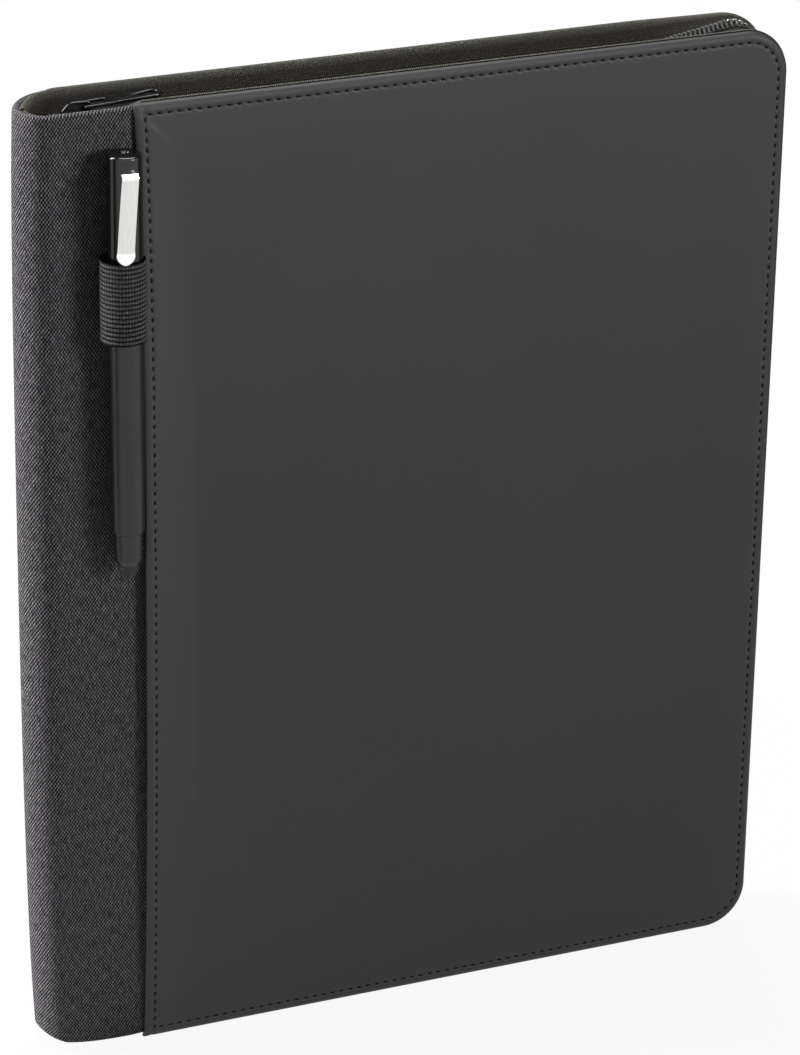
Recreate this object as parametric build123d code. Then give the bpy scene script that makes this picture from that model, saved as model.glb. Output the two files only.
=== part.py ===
from build123d import *
import math
import os

# A zippered padfolio, closed and standing on the bottom edges of its covers.
# Millimetres. X runs from the spine to the fore-edge, Y from the front cover to the rear one, Z up.

# The closed book
HEIGHT = 325.0  # bottom edge to top edge of the covers
WIDTH = 257.0  # back of the spine to the fore-edge
THICKNESS = 24.6  # outside of the front cover to the outside of the rear cover
CORNER_RADIUS = 15.0  # the two fore-edge corners of each cover

# Layers of a cover, from the outside in
SKIN = 2.0  # leatherette on thin foam
BOARD = 1.3  # stiffener
LINING = 0.6  # woven lining
SKIN_RIM = 1.6  # leatherette turned round the edge of the board
SKIN_ROLL = 1.2  # rounding of the leatherette's outer edges
BOARD_FIT = 0.1  # board inside the turned edge
BOARD_SETBACK = 2.0  # board from the start of the fold
LINING_INSET = 0.8  # lining from the cover's edge

# Canvas round the spine
CANVAS = 0.8  # canvas thickness
CANVAS_WIDTH = 35.0  # back of the spine to the seam with the leatherette
SEAM_BOW = 2.5  # the seam bows away from the spine at mid-height
HEM_STEP = 1.0  # canvas stops short of the covers' top and bottom edges
SPINE_FLAT = 4.0  # flat strip between the two round folds
FOLD_GAP = 0.2  # between a fold and the cover beside it

# Zip
ZIP_RECESS = 6.5  # outer face of the tape below the covers' edges
ZIP_SETBACK = 1.0  # end of the tape from the start of the fold
TAPE = 0.6  # tape thickness
TAPE_GAP = 1.5  # between the two tapes
COIL_HEIGHT = 2.1
COIL_WIDTH = 2.6
COIL_GAP = 0.3  # between the two coils
STOP_LENGTH = 1.5  # end stop along the tape
ZIP_CORNER_RADIUS = 8.0  # the zip's turn at the foot of the fore-edge
CREST_START = 41.0  # where the zip starts to rise towards the top corner, from the fore-edge
CREST_INSET = 8.5  # peak of that rise, from the fore-edge
CREST_RISE = 6.5  # height of that peak over the straight run, before rounding
CREST_END = 22.0  # where the rise has died out, below the straight top run
CREST_RADIUS = 7.0
CREST_EASE = 30.0  # radius where the rise starts and ends

# Zip slider
SLIDER_LENGTH = 11.0
SLIDER_OFFSET = 11.4  # middle of the slider from the start of the fold
SLIDER_WALL = 1.0
SLIDER_CLEARANCE = 0.4  # round the coils and the tape
SLIDER_ROUND = 1.5  # corners of its plates
POST_LENGTH = 2.2  # post that joins the two plates
POST_INSET = 0.5  # post from the slider's leading end
BRIDGE_LENGTH = 8.0
BRIDGE_WIDTH = 2.2
BRIDGE_BAR = 1.0  # thickness of the bridge
BRIDGE_SPACE = 2.2  # height under the bridge
BRIDGE_ROUND = 0.9

# Pull tab
PULL_LENGTH = 25.0  # pivot to tip
PULL_WIDTH = 6.6
PULL_THICKNESS = 1.3
PULL_CLEARANCE = 0.3  # round the bridge
PULL_WINDOW = 6.5  # length of the window that the bridge passes through
PULL_ARM = 1.5  # width of the arms beside that window
PULL_RIM = 1.3  # rim round the finger hole
PULL_HOLE_LENGTH = 8.5
PULL_HOLE_POINT = 0.5  # radius of the pointed end of the finger hole
PULL_TIP_ROUND = 2.9
PULL_TILT = 3.0  # degrees that the tip stands up
PULL_BAR_ROUND = 0.9  # rounding of the bar under the bridge, as a share of half its thickness

# Pen in its loop
PEN_LENGTH = 140.0
PEN_DROP = 12.0  # top of the pen below the covers' top edge
PEN_OFFSET = 5.4  # pen axis from the seam, towards the spine
BARREL_DIAMETER = 11.0
BARREL_BORE = 8.0
BARREL_BEVEL = 0.8
CAP_DIAMETER = 11.3
CAP_LENGTH = 51.0
CAP_WALL = 0.7
CAP_TOP = 4.0  # closed end of the cap
CAP_EDGE = 0.5
CAP_SEAT = 0.1  # between the cap's rim and the barrel
DIMPLE_DIAMETER = 3.6
DIMPLE_DEPTH = 0.4
NOSE_COLLAR = 22.0  # straight part of the writing end
NOSE_LENGTH = 36.0
NOSE_TIP_DIAMETER = 4.4
NOSE_SPIGOT = 10.0  # its length inside the barrel
NOSE_CLEARANCE = 0.3  # inside the cap
PEN_FIT = 0.1  # pieces pushed into each other
REFILL_DIAMETER = 3.0
REFILL_SETBACK = 15.0  # lower end of the refill, above the foot of the barrel
REFILL_POINT = 2.5  # writing point beyond the nose
REFILL_BALL_DIAMETER = 1.2
FERRULE_LENGTH = 9.0
FERRULE_TOP_DIAMETER = 9.1
FERRULE_FOOT_DIAMETER = 8.5
FERRULE_EDGE = 0.6
FERRULE_SPIGOT = 6.0
TIP_DIAMETER = 6.8
TIP_SHOW = 3.3  # rubber below the ferrule
TIP_SOCKET = 5.0  # rubber inside the ferrule
CLIP_DROP = 4.3  # top of the clip below the top of the pen
CLIP_LENGTH = 30.2
CLIP_WIDTH = 6.2
CLIP_THICKNESS = 0.7
CLIP_STAND = 1.6  # clip from the cap at its top
CLIP_FOOT_GAP = 0.3  # clip from the cap at its foot
CLIP_ROOT = 1.1  # clip's bent end past the front of the cap
CLIP_ROUND = 2.9
ELASTIC = 1.5  # thickness of the loop's webbing
LOOP_WIDTH = 26.5
LOOP_DROP = 36.0  # top of the loop below the top of the pen
LOOP_SLACK = 0.8  # loop from the cap

# Pad and pockets
PAD_SPINE_MARGIN = 19.5  # pad from the start of the fold
PAD_FORE_MARGIN = 12.5  # pad from the fore-edge
PAD_FOOT_MARGIN = 15.0  # pad from the covers' bottom edge
PAD_TOP_MARGIN = 30.6  # pad from the covers' top edge
SHEETS = 5.0  # thickness of the sheets
BACKING = 0.8
HEADER = 0.3  # binding strip over the head of the pad
HEADER_HEIGHT = 12.0
PAD_EASE = 0.1  # between the pad and its pocket
POCKET = 0.7  # thickness of a pocket's sheet
POCKET_SEAM = 3.0  # width sewn down
POCKET_BORDER = 4.0  # pocket beyond the pad
PAD_POCKET_HEIGHT = 180.0
DOCUMENT_POCKET_HEIGHT = 210.0
DOCUMENT_SLACK = 0.3
CARD_POCKET_WIDTH = 105.0
CARD_POCKET_HEIGHT = 60.0
CARD_POCKET_INSET = 15.0  # from the document pocket's left and lower edges

# Places across the thickness on the front side, measured from the middle of the book
front_face = -THICKNESS / 2
canvas_face = front_face + SKIN - CANVAS
board_face = front_face + SKIN
lining_face = board_face + BOARD
inner_face = lining_face + LINING

# Spine
fold_radius = -canvas_face - SPINE_FLAT / 2
fold_x = -WIDTH / 2 + fold_radius
seam_x = -WIDTH / 2 + CANVAS_WIDTH

# Zip
zip_top = HEIGHT - ZIP_RECESS
zip_side = WIDTH / 2 - ZIP_RECESS
zip_start = fold_x + ZIP_SETBACK
slider_x = fold_x + SLIDER_OFFSET
slider_start = slider_x - SLIDER_LENGTH / 2
slider_width = COIL_GAP + 2 * (COIL_WIDTH + SLIDER_CLEARANCE + SLIDER_WALL)
slider_ceiling = zip_top + COIL_HEIGHT + SLIDER_CLEARANCE
slider_floor = zip_top - TAPE - SLIDER_CLEARANCE
slider_top = slider_ceiling + SLIDER_WALL
post_end = slider_start + POST_INSET + POST_LENGTH
pivot_x = slider_x + BRIDGE_LENGTH / 2 - BRIDGE_BAR - PULL_CLEARANCE - PULL_THICKNESS / 2
pivot_z = slider_top + PULL_CLEARANCE + PULL_THICKNESS / 2

# Pen
cap_radius = CAP_DIAMETER / 2
cap_bore = cap_radius - CAP_WALL
loop_radius = cap_radius + LOOP_SLACK + ELASTIC
pen_x = seam_x - PEN_OFFSET
pen_y = canvas_face - loop_radius
pen_top = HEIGHT - PEN_DROP
pen_foot = pen_top - PEN_LENGTH
cap_rim = pen_top - CAP_LENGTH
barrel_top = cap_rim - CAP_SEAT
ferrule_foot = pen_foot + TIP_SHOW
barrel_foot = ferrule_foot + FERRULE_LENGTH
loop_top = pen_top - LOOP_DROP
clip_top = pen_top - CLIP_DROP
clip_front = cap_radius + CLIP_STAND + CLIP_THICKNESS

# Pad
pad_left = fold_x + PAD_SPINE_MARGIN
pad_right = WIDTH / 2 - PAD_FORE_MARGIN
pad_foot = PAD_FOOT_MARGIN
pad_top = HEIGHT - PAD_TOP_MARGIN
backing_face = inner_face + HEADER
pad_pocket_slack = HEADER + BACKING + PAD_EASE
sheets_face = inner_face + pad_pocket_slack + POCKET + PAD_EASE
pocket_left = pad_left - POCKET_BORDER
pocket_right = pad_right + POCKET_BORDER
pocket_foot = pad_foot - POCKET_BORDER

# The origin lies under the middle of the whole depth, pen included
front_reach = max(loop_radius, clip_front) - pen_y
middle_y = (front_reach - THICKNESS / 2) / 2


def rectangle(left, right, foot, top):
    """A plain rectangle in X and Z."""
    return make_face(Polyline((left, foot), (right, foot), (right, top), (left, top), close=True))


def slab(face, near, far):
    """A face drawn in X and Z, thickened along Y from near to far."""
    return Pos(0, far, 0) * extrude(Plane.XZ * face, far - near)


def rear(piece):
    """The same piece on the rear cover, mirrored through the middle of the book."""
    return mirror(piece, about=Plane.XZ)


def cover_outline(left, inset):
    """A cover's outline from left to the fore-edge, with its two fore-edge corners rounded."""
    face = rectangle(left, WIDTH / 2 - inset, inset, HEIGHT - inset)
    corners = face.vertices().group_by(Axis.X)[-1]
    return fillet(corners, CORNER_RADIUS - inset)


def seam_crescent():
    """The thin crescent between the bowed seam and the straight line through its ends."""
    bow = ThreePointArc((seam_x, 0), (seam_x + SEAM_BOW, HEIGHT / 2), (seam_x, HEIGHT))
    return make_face([bow, Line((seam_x, HEIGHT), (seam_x, 0))])


def cover_skin():
    """Leatherette panel with a rolled outer edge, turned round the board on three sides."""
    outline = cover_outline(seam_x, 0) - seam_crescent()
    sheet = slab(outline, front_face, board_face)
    outer_edges = sheet.faces().sort_by(Axis.Y)[0].edges()
    sheet = fillet(outer_edges, SKIN_ROLL)
    rim = slab(outline - cover_outline(fold_x, SKIN_RIM), board_face, lining_face)
    return sheet + rim


def cover_board():
    """Stiffener inside the turned edge."""
    return slab(cover_outline(fold_x + BOARD_SETBACK, SKIN_RIM + BOARD_FIT), board_face, lining_face)


def cover_lining():
    """Lining over the inside of the board."""
    return slab(cover_outline(fold_x + FOLD_GAP, LINING_INSET), lining_face, inner_face)


def cover_canvas():
    """Canvas from the fold to the bowed seam, with hems turned round the top and foot of the board."""
    left = fold_x + FOLD_GAP
    top = HEIGHT - HEM_STEP
    whole = rectangle(left, seam_x, 0, HEIGHT) + seam_crescent()
    sheet = slab(whole & rectangle(left, seam_x + SEAM_BOW, HEM_STEP, top), canvas_face, board_face)
    foot_hem = slab(rectangle(left, seam_x, HEM_STEP, SKIN_RIM), board_face, lining_face)
    top_hem = slab(rectangle(left, seam_x, HEIGHT - SKIN_RIM, top), board_face, lining_face)
    return sheet + foot_hem + top_hem


def fold(outer_depth, thickness, inset):
    """A quarter-round fold of one layer, from the front cover to the spine.

    outer_depth is how far the layer's outer face lies inside the canvas's outer face.
    """
    outer = fold_radius - outer_depth
    quarter = Pos(-outer / 2, -outer / 2) * Rectangle(outer, outer)
    face = (Circle(outer) - Circle(outer - thickness)) & quarter
    return Pos(fold_x, -SPINE_FLAT / 2, inset) * extrude(face, HEIGHT - 2 * inset)


def spine_strip(outer_depth, thickness, inset):
    """The flat strip of one layer between the two folds."""
    left = -WIDTH / 2 + outer_depth
    strip = rectangle(left, left + thickness, inset, HEIGHT - inset)
    return slab(strip, -SPINE_FLAT / 2, SPINE_FLAT / 2)


def zip_path(start):
    """Outer face of the tape: along the top, over the crest at the corner, down and back along the foot."""
    points = [
        (start, zip_top),
        (WIDTH / 2 - CREST_START, zip_top),
        (WIDTH / 2 - CREST_INSET, zip_top + CREST_RISE),
        (zip_side, zip_top - CREST_END),
        (zip_side, ZIP_RECESS),
        (zip_start, ZIP_RECESS),
    ]
    return FilletPolyline(*points, radius=[CREST_EASE, CREST_RADIUS, CREST_EASE, ZIP_CORNER_RADIUS])


def zip_tape():
    """Woven tape across half of the recess."""
    band = make_face(zip_path(zip_start).offset_2d(TAPE, side=Side.RIGHT, closed=True))
    return slab(band, inner_face, -TAPE_GAP / 2)


def zip_coil():
    """Nylon coil along the inner edge of the tape, meshed from the slider's post onwards."""
    band = make_face(
        zip_path(post_end + SLIDER_CLEARANCE).offset_2d(COIL_HEIGHT, side=Side.LEFT, closed=True)
    )
    coil = slab(band, -COIL_GAP / 2 - COIL_WIDTH, -COIL_GAP / 2)
    end_room = rectangle(zip_start, zip_start + STOP_LENGTH, 0, ZIP_RECESS)
    return coil - slab(end_room, inner_face, 0)


def zip_stops():
    """The two crimped stops at the ends of one tape, top and foot."""
    near = -COIL_GAP / 2 - COIL_WIDTH
    end = zip_start + STOP_LENGTH
    top_stop = slab(rectangle(zip_start, end, zip_top, zip_top + COIL_HEIGHT), near, -COIL_GAP / 2)
    foot = rectangle(zip_start, end, ZIP_RECESS - COIL_HEIGHT, ZIP_RECESS)
    return Compound([top_stop, slab(foot, near, -COIL_GAP / 2)])


def slider_body():
    """Two plates round the tape and coils, joined by a post, with side flanges on the upper plate."""
    plan = Rectangle(SLIDER_LENGTH, slider_width)
    plan = fillet(plan.vertices(), SLIDER_ROUND)
    plate = extrude(plan, SLIDER_WALL)
    upper = Pos(slider_x, 0, slider_ceiling) * plate
    lower = Pos(slider_x, 0, slider_floor - SLIDER_WALL) * plate
    post_width = TAPE_GAP - 2 * SLIDER_CLEARANCE
    post_face = rectangle(post_end - POST_LENGTH, post_end, slider_floor, slider_ceiling)
    body = upper + lower + slab(post_face, -post_width / 2, post_width / 2)
    flange_half = SLIDER_LENGTH / 2 - SLIDER_ROUND
    flange_face = rectangle(
        slider_x - flange_half, slider_x + flange_half, zip_top + SLIDER_CLEARANCE, slider_ceiling
    )
    flange = slab(flange_face, -slider_width / 2, SLIDER_WALL - slider_width / 2)
    return body + flange + rear(flange)


def slider_bridge():
    """Arch on the slider that the pull hangs on."""
    half = BRIDGE_LENGTH / 2
    top = slider_top + BRIDGE_SPACE + BRIDGE_BAR
    outer = rectangle(slider_x - half, slider_x + half, slider_top, top)
    outer = fillet(outer.vertices().group_by(Axis.Y)[-1], BRIDGE_ROUND)
    space = rectangle(
        slider_x - half + BRIDGE_BAR, slider_x + half - BRIDGE_BAR, slider_top, slider_top + BRIDGE_SPACE
    )
    return slab(outer - space, -BRIDGE_WIDTH / 2, BRIDGE_WIDTH / 2)


def pull_tab():
    """Flat pull with a window round the bridge and a drop-shaped finger hole."""
    bar = PULL_THICKNESS / 2
    plan = Pos(PULL_LENGTH / 2 - bar / 2, 0) * Rectangle(PULL_LENGTH + bar, PULL_WIDTH)
    plan = fillet(plan.vertices().group_by(Axis.X)[-1], PULL_TIP_ROUND)
    window = Pos(bar + PULL_WINDOW / 2, 0) * Rectangle(PULL_WINDOW, PULL_WIDTH - 2 * PULL_ARM)
    hole_radius = PULL_WIDTH / 2 - PULL_RIM
    hole_end = PULL_LENGTH - PULL_RIM - hole_radius
    hole_point = PULL_LENGTH - PULL_RIM - PULL_HOLE_LENGTH + PULL_HOLE_POINT
    round_end = CenterArc((hole_end, 0), hole_radius, 0, 360)
    pointed_end = CenterArc((hole_point, 0), PULL_HOLE_POINT, 0, 360)
    hole = make_hull([round_end, pointed_end])
    tab = extrude(plan - window - hole, bar, both=True)
    bar_edges = tab.edges().filter_by(Axis.Y).group_by(Axis.X)[0]
    tab = fillet(bar_edges, bar * PULL_BAR_ROUND)
    return Pos(pivot_x, 0, pivot_z) * Rot(0, -PULL_TILT, 0) * tab


def on_pen_axis(profile):
    """A round piece on the pen's axis, from its half profile in radius and height."""
    return Pos(pen_x, pen_y, 0) * revolve(Plane.XZ * profile, Axis.Z)


def turned(*outline):
    """A round piece on the pen's axis, from the corners (radius, height) of its half profile."""
    return on_pen_axis(make_face(Polyline(*outline, close=True)))


def pen_barrel():
    """Barrel tube with a bevelled foot."""
    outer = BARREL_DIAMETER / 2
    bore = BARREL_BORE / 2
    return turned(
        (bore, barrel_foot),
        (outer - BARREL_BEVEL, barrel_foot),
        (outer, barrel_foot + BARREL_BEVEL),
        (outer, barrel_top),
        (bore, barrel_top),
    )


def pen_nose():
    """Writing end under the cap: a spigot in the barrel, a collar and a cone, bored for the refill."""
    bore = REFILL_DIAMETER / 2 + PEN_FIT
    spigot = BARREL_BORE / 2 - PEN_FIT
    collar = cap_bore - NOSE_CLEARANCE
    return turned(
        (bore, barrel_top - NOSE_SPIGOT),
        (spigot, barrel_top - NOSE_SPIGOT),
        (spigot, barrel_top),
        (collar, barrel_top),
        (collar, cap_rim + NOSE_COLLAR),
        (NOSE_TIP_DIAMETER / 2, cap_rim + NOSE_LENGTH),
        (bore, cap_rim + NOSE_LENGTH),
    )


def pen_refill():
    """Ink tube with its writing point."""
    tube = REFILL_DIAMETER / 2
    nose_end = cap_rim + NOSE_LENGTH
    return turned(
        (0, barrel_foot + REFILL_SETBACK),
        (tube, barrel_foot + REFILL_SETBACK),
        (tube, nose_end),
        (REFILL_BALL_DIAMETER / 2, nose_end + REFILL_POINT),
        (0, nose_end + REFILL_POINT),
    )


def stylus_ferrule():
    """Tapered holder of the stylus tip, with a spigot in the barrel and a socket below."""
    socket = TIP_DIAMETER / 2 + PEN_FIT
    foot = FERRULE_FOOT_DIAMETER / 2
    spigot = BARREL_BORE / 2 - PEN_FIT
    return turned(
        (socket, ferrule_foot),
        (foot - FERRULE_EDGE, ferrule_foot),
        (foot, ferrule_foot + FERRULE_EDGE),
        (FERRULE_TOP_DIAMETER / 2, barrel_foot),
        (spigot, barrel_foot),
        (spigot, barrel_foot + FERRULE_SPIGOT),
        (0, barrel_foot + FERRULE_SPIGOT),
        (0, ferrule_foot + TIP_SOCKET),
        (socket, ferrule_foot + TIP_SOCKET),
    )


def stylus_tip():
    """Rubber dome with a stem in the ferrule."""
    radius = TIP_DIAMETER / 2
    stem_top = ferrule_foot + TIP_SOCKET
    slant = radius * math.sqrt(0.5)
    dome = ThreePointArc((0, pen_foot), (slant, pen_foot + radius - slant), (radius, pen_foot + radius))
    side = Line((radius, pen_foot + radius), (radius, stem_top))
    top = Line((radius, stem_top), (0, stem_top))
    axis = Line((0, stem_top), (0, pen_foot))
    return on_pen_axis(make_face([dome, side, top, axis]))


def pen_cap():
    """Cap with a closed, dimpled top."""
    return turned(
        (cap_bore, cap_rim),
        (cap_radius, cap_rim),
        (cap_radius, pen_top - CAP_EDGE),
        (cap_radius - CAP_EDGE, pen_top),
        (DIMPLE_DIAMETER / 2, pen_top),
        (DIMPLE_DIAMETER / 2 - DIMPLE_DEPTH, pen_top - DIMPLE_DEPTH),
        (0, pen_top - DIMPLE_DEPTH),
        (0, pen_top - CAP_TOP),
        (cap_bore, pen_top - CAP_TOP),
    )


def pen_clip():
    """Sprung strip, bent into the cap at its top and leaning in to the cap at its rounded foot."""
    foot = clip_top - CLIP_LENGTH
    stand = -cap_radius - CLIP_STAND
    lean = -cap_radius - CLIP_FOOT_GAP
    root = CLIP_ROOT - cap_radius
    side = Polyline(
        (root, clip_top),
        (stand - CLIP_THICKNESS, clip_top),
        (lean - CLIP_THICKNESS, foot),
        (lean, foot),
        (stand, clip_top - CLIP_THICKNESS),
        (root, clip_top - CLIP_THICKNESS),
        close=True,
    )
    strip = extrude(Plane.YZ * make_face(side), CLIP_WIDTH / 2, both=True)
    tongue = rectangle(-CLIP_WIDTH / 2, CLIP_WIDTH / 2, foot, clip_top)
    tongue = fillet(tongue.vertices().group_by(Axis.Y)[0], CLIP_ROUND)
    strip = strip & slab(tongue, -clip_front, 0)
    cap_body = Pos(0, 0, clip_top) * Cylinder(cap_radius, 2 * CLIP_LENGTH)
    return Pos(pen_x, pen_y, 0) * (strip - cap_body)


def pen_loop():
    """Elastic wrapped round the pen, with its tail on the canvas, going to the seam."""
    ring = Circle(loop_radius) - Circle(loop_radius - ELASTIC)
    tail = Pos(PEN_OFFSET / 2, loop_radius - ELASTIC / 2) * Rectangle(PEN_OFFSET, ELASTIC)
    return Pos(pen_x, pen_y, loop_top - LOOP_WIDTH) * extrude(ring + tail, LOOP_WIDTH)


def flat_pocket(left, right, foot, top, seat, slack):
    """A sheet sewn down along its sides and foot and open at its top, standing slack off its seat."""
    sheet = slab(rectangle(left, right, foot, top), seat, seat + slack + POCKET)
    inside = rectangle(left + POCKET_SEAM, right - POCKET_SEAM, foot + POCKET_SEAM, top)
    return sheet - slab(inside, seat, seat + slack)


def pad_pocket():
    """Pocket on the rear lining that takes the pad's backing board."""
    top = pocket_foot + PAD_POCKET_HEIGHT
    return flat_pocket(pocket_left, pocket_right, pocket_foot, top, inner_face, pad_pocket_slack)


def document_pocket():
    """Wide pocket on the front lining."""
    top = pocket_foot + DOCUMENT_POCKET_HEIGHT
    return flat_pocket(pocket_left, pocket_right, pocket_foot, top, inner_face, DOCUMENT_SLACK)


def card_pocket():
    """Small pocket on the document pocket."""
    left = pocket_left + CARD_POCKET_INSET
    foot = pocket_foot + CARD_POCKET_INSET
    seat = inner_face + DOCUMENT_SLACK + POCKET
    return flat_pocket(
        left, left + CARD_POCKET_WIDTH, foot, foot + CARD_POCKET_HEIGHT, seat, DOCUMENT_SLACK
    )


def pad_backing_board():
    """Card at the back of the pad, slipped into the pad pocket."""
    return slab(rectangle(pad_left, pad_right, pad_foot, pad_top), backing_face, backing_face + BACKING)


def pad_sheets():
    """Block of ruled sheets in front of the pad pocket."""
    return slab(rectangle(pad_left, pad_right, pad_foot, pad_top), sheets_face, sheets_face + SHEETS)


def pad_header_tape():
    """Binding strip folded over the head of the sheets and the backing board."""
    face = rectangle(pad_left, pad_right, pad_top - HEADER_HEIGHT, pad_top + HEADER)
    near = sheets_face + SHEETS + HEADER
    space = rectangle(pad_left, pad_right, pad_top - HEADER_HEIGHT, pad_top)
    return slab(face, inner_face, near) - slab(space, backing_face, near - HEADER)


nodes = {
    "front_cover_skin": cover_skin(),
    "front_cover_board": cover_board(),
    "front_lining": cover_lining(),
    "front_canvas": cover_canvas(),
    "front_zip_tape": zip_tape(),
    "front_zip_coil": zip_coil(),
    "front_zip_stops": zip_stops(),
    "document_pocket": document_pocket(),
    "card_pocket": card_pocket(),
    "pen_loop": pen_loop(),
    "spine_canvas": spine_strip(0, CANVAS, HEM_STEP),
    "spine_board": spine_strip(CANVAS, BOARD, HEM_STEP),
    "spine_lining": spine_strip(CANVAS + BOARD, LINING, LINING_INSET),
    "front_fold_canvas": fold(0, CANVAS, HEM_STEP),
    "front_fold_lining": fold(CANVAS + BOARD, LINING, LINING_INSET),
    "rear_fold_canvas": rear(fold(0, CANVAS, HEM_STEP)),
    "rear_fold_lining": rear(fold(CANVAS + BOARD, LINING, LINING_INSET)),
    "rear_cover_skin": rear(cover_skin()),
    "rear_cover_board": rear(cover_board()),
    "rear_lining": rear(cover_lining()),
    "rear_canvas": rear(cover_canvas()),
    "rear_zip_tape": rear(zip_tape()),
    "rear_zip_coil": rear(zip_coil()),
    "rear_zip_stops": rear(zip_stops()),
    "pad_pocket": rear(pad_pocket()),
    "pad_backing_board": rear(pad_backing_board()),
    "pad_sheets": rear(pad_sheets()),
    "pad_header_tape": rear(pad_header_tape()),
    "slider_body": slider_body(),
    "slider_bridge": slider_bridge(),
    "pull_tab": pull_tab(),
    "pen_barrel": pen_barrel(),
    "pen_nose": pen_nose(),
    "pen_refill": pen_refill(),
    "stylus_ferrule": stylus_ferrule(),
    "stylus_tip": stylus_tip(),
    "pen_cap": pen_cap(),
    "pen_clip": pen_clip(),
}

os.makedirs("parts", exist_ok=True)
for name, piece in nodes.items():
    export_step(Pos(0, middle_y, 0) * piece, f"parts/{name}.step")

print("nodes:", len(nodes))
print("middle of the book at y =", round(middle_y, 3))
print("fold line x =", round(fold_x, 3), " fold radius =", round(fold_radius, 3))
print("slider x =", round(slider_x, 3), " pivot =", round(pivot_x, 3), round(pivot_z, 3))
print("pen axis =", round(pen_x, 3), round(pen_y + middle_y, 3))
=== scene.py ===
# %% [markdown]
# # A zippered padfolio
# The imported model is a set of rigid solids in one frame: X runs from the spine to the fore-edge, Y from the
# front cover to the rear one, Z up. Every cloth, skin and thread below takes its place from those solids.

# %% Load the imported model
import math

import bmesh
import bpy
import numpy as np
from mathutils import Matrix, Vector


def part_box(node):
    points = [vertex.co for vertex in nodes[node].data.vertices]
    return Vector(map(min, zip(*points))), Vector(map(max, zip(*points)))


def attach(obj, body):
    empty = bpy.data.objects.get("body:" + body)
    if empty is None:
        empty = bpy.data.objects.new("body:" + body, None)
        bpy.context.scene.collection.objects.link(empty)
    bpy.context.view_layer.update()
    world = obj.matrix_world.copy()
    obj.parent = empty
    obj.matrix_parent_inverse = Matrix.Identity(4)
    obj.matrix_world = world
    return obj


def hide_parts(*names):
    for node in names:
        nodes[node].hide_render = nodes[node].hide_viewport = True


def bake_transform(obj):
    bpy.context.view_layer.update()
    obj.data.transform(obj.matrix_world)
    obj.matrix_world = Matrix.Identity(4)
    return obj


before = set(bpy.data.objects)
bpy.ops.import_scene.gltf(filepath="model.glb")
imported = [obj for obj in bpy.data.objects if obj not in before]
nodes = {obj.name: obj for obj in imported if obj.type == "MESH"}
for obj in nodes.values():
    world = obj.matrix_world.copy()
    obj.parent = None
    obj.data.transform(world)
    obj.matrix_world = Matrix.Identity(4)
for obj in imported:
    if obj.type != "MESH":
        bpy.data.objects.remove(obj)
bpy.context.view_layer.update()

# %% [markdown]
# Blender counts in metres, and a padfolio is easier to think of in millimetres, so all sizes below are in
# millimetres and one factor turns them to metres when a mesh is made. The places come from the solids'
# boxes.

# %% Places read from the solids
MM = 0.001
SIDES = ("front", "rear")
SEAM_SHIFT = 0.65


def corners(node):
    """A solid's lowest and highest corner, in millimetres."""
    return [np.array(corner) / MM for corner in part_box(node)]


skin_lo, skin_hi = corners("front_cover_skin")
canvas_lo, canvas_hi = corners("front_canvas")
seam_x = skin_lo[0] - SEAM_SHIFT
fore_x = skin_hi[0]
height = skin_hi[2]
front_y = skin_lo[1]
rear_y = corners("rear_cover_skin")[1][1]
book_y = (front_y + rear_y) / 2
half_book = (rear_y - front_y) / 2
rim_depth = skin_hi[1] - front_y
canvas_depth = canvas_lo[1] - front_y
spine_x = corners("spine_canvas")[0][0]
fold_x = corners("front_fold_canvas")[1][0]


def cover_y(depth, side):
    """The place along Y that lies depth below the outer face of the front or the rear cover."""
    return front_y + depth if side == "front" else rear_y - depth


print("covers", round(fore_x - spine_x, 1), "by", round(height, 1), "by", round(rear_y - front_y, 1), "mm")

# %% [markdown]
# The camera stands where the photographer stood: to the left of the front cover and above it. A long lens
# at about 1.5 m keeps the edges nearly parallel. Its direction is given as a turn, a tilt and a slight
# roll, and the three axes that follow from them are the columns of the camera's matrix.

# %% Camera
CAMERA_PLACE = np.array([-526.9, book_y - 1231.0, 763.8])
CAMERA_TURN, CAMERA_TILT, CAMERA_ROLL = np.radians([23.2, 24.07, 0.97])
FOCAL_PIXELS = 4499.2
PICTURE_HEIGHT = 1055
SENSOR = 36.0

level = np.array([np.cos(CAMERA_TURN), -np.sin(CAMERA_TURN), 0.0])
onward = np.array([np.sin(CAMERA_TURN), np.cos(CAMERA_TURN), 0.0])
ahead = onward * np.cos(CAMERA_TILT) - np.array([0, 0, np.sin(CAMERA_TILT)])
upright = np.cross(level, ahead)
right = np.cos(CAMERA_ROLL) * level + np.sin(CAMERA_ROLL) * upright
up = np.cos(CAMERA_ROLL) * upright - np.sin(CAMERA_ROLL) * level

camera = bpy.data.objects.new("camera", bpy.data.cameras.new("camera"))
camera.data.lens = FOCAL_PIXELS / PICTURE_HEIGHT * SENSOR
camera.data.sensor_width = SENSOR
turned_axes = Matrix(np.stack([right, up, -ahead], 1).tolist()).to_4x4()
camera.matrix_world = Matrix.Translation(Vector(CAMERA_PLACE * MM)) @ turned_axes
bpy.context.scene.collection.objects.link(camera)
bpy.context.scene.camera = camera
print("lens", round(camera.data.lens, 1), "mm")

# %% [markdown]
# ## Helpers for meshes
# Every new piece is a surface on a grid: a function of two parameters, worked out for all grid points at
# once. One helper joins neighbouring points with quads, merges the points that meet, and hands the piece to
# the body that carries it.

# %% Mesh helpers
SHARP_ANGLE = math.radians(50)


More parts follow.
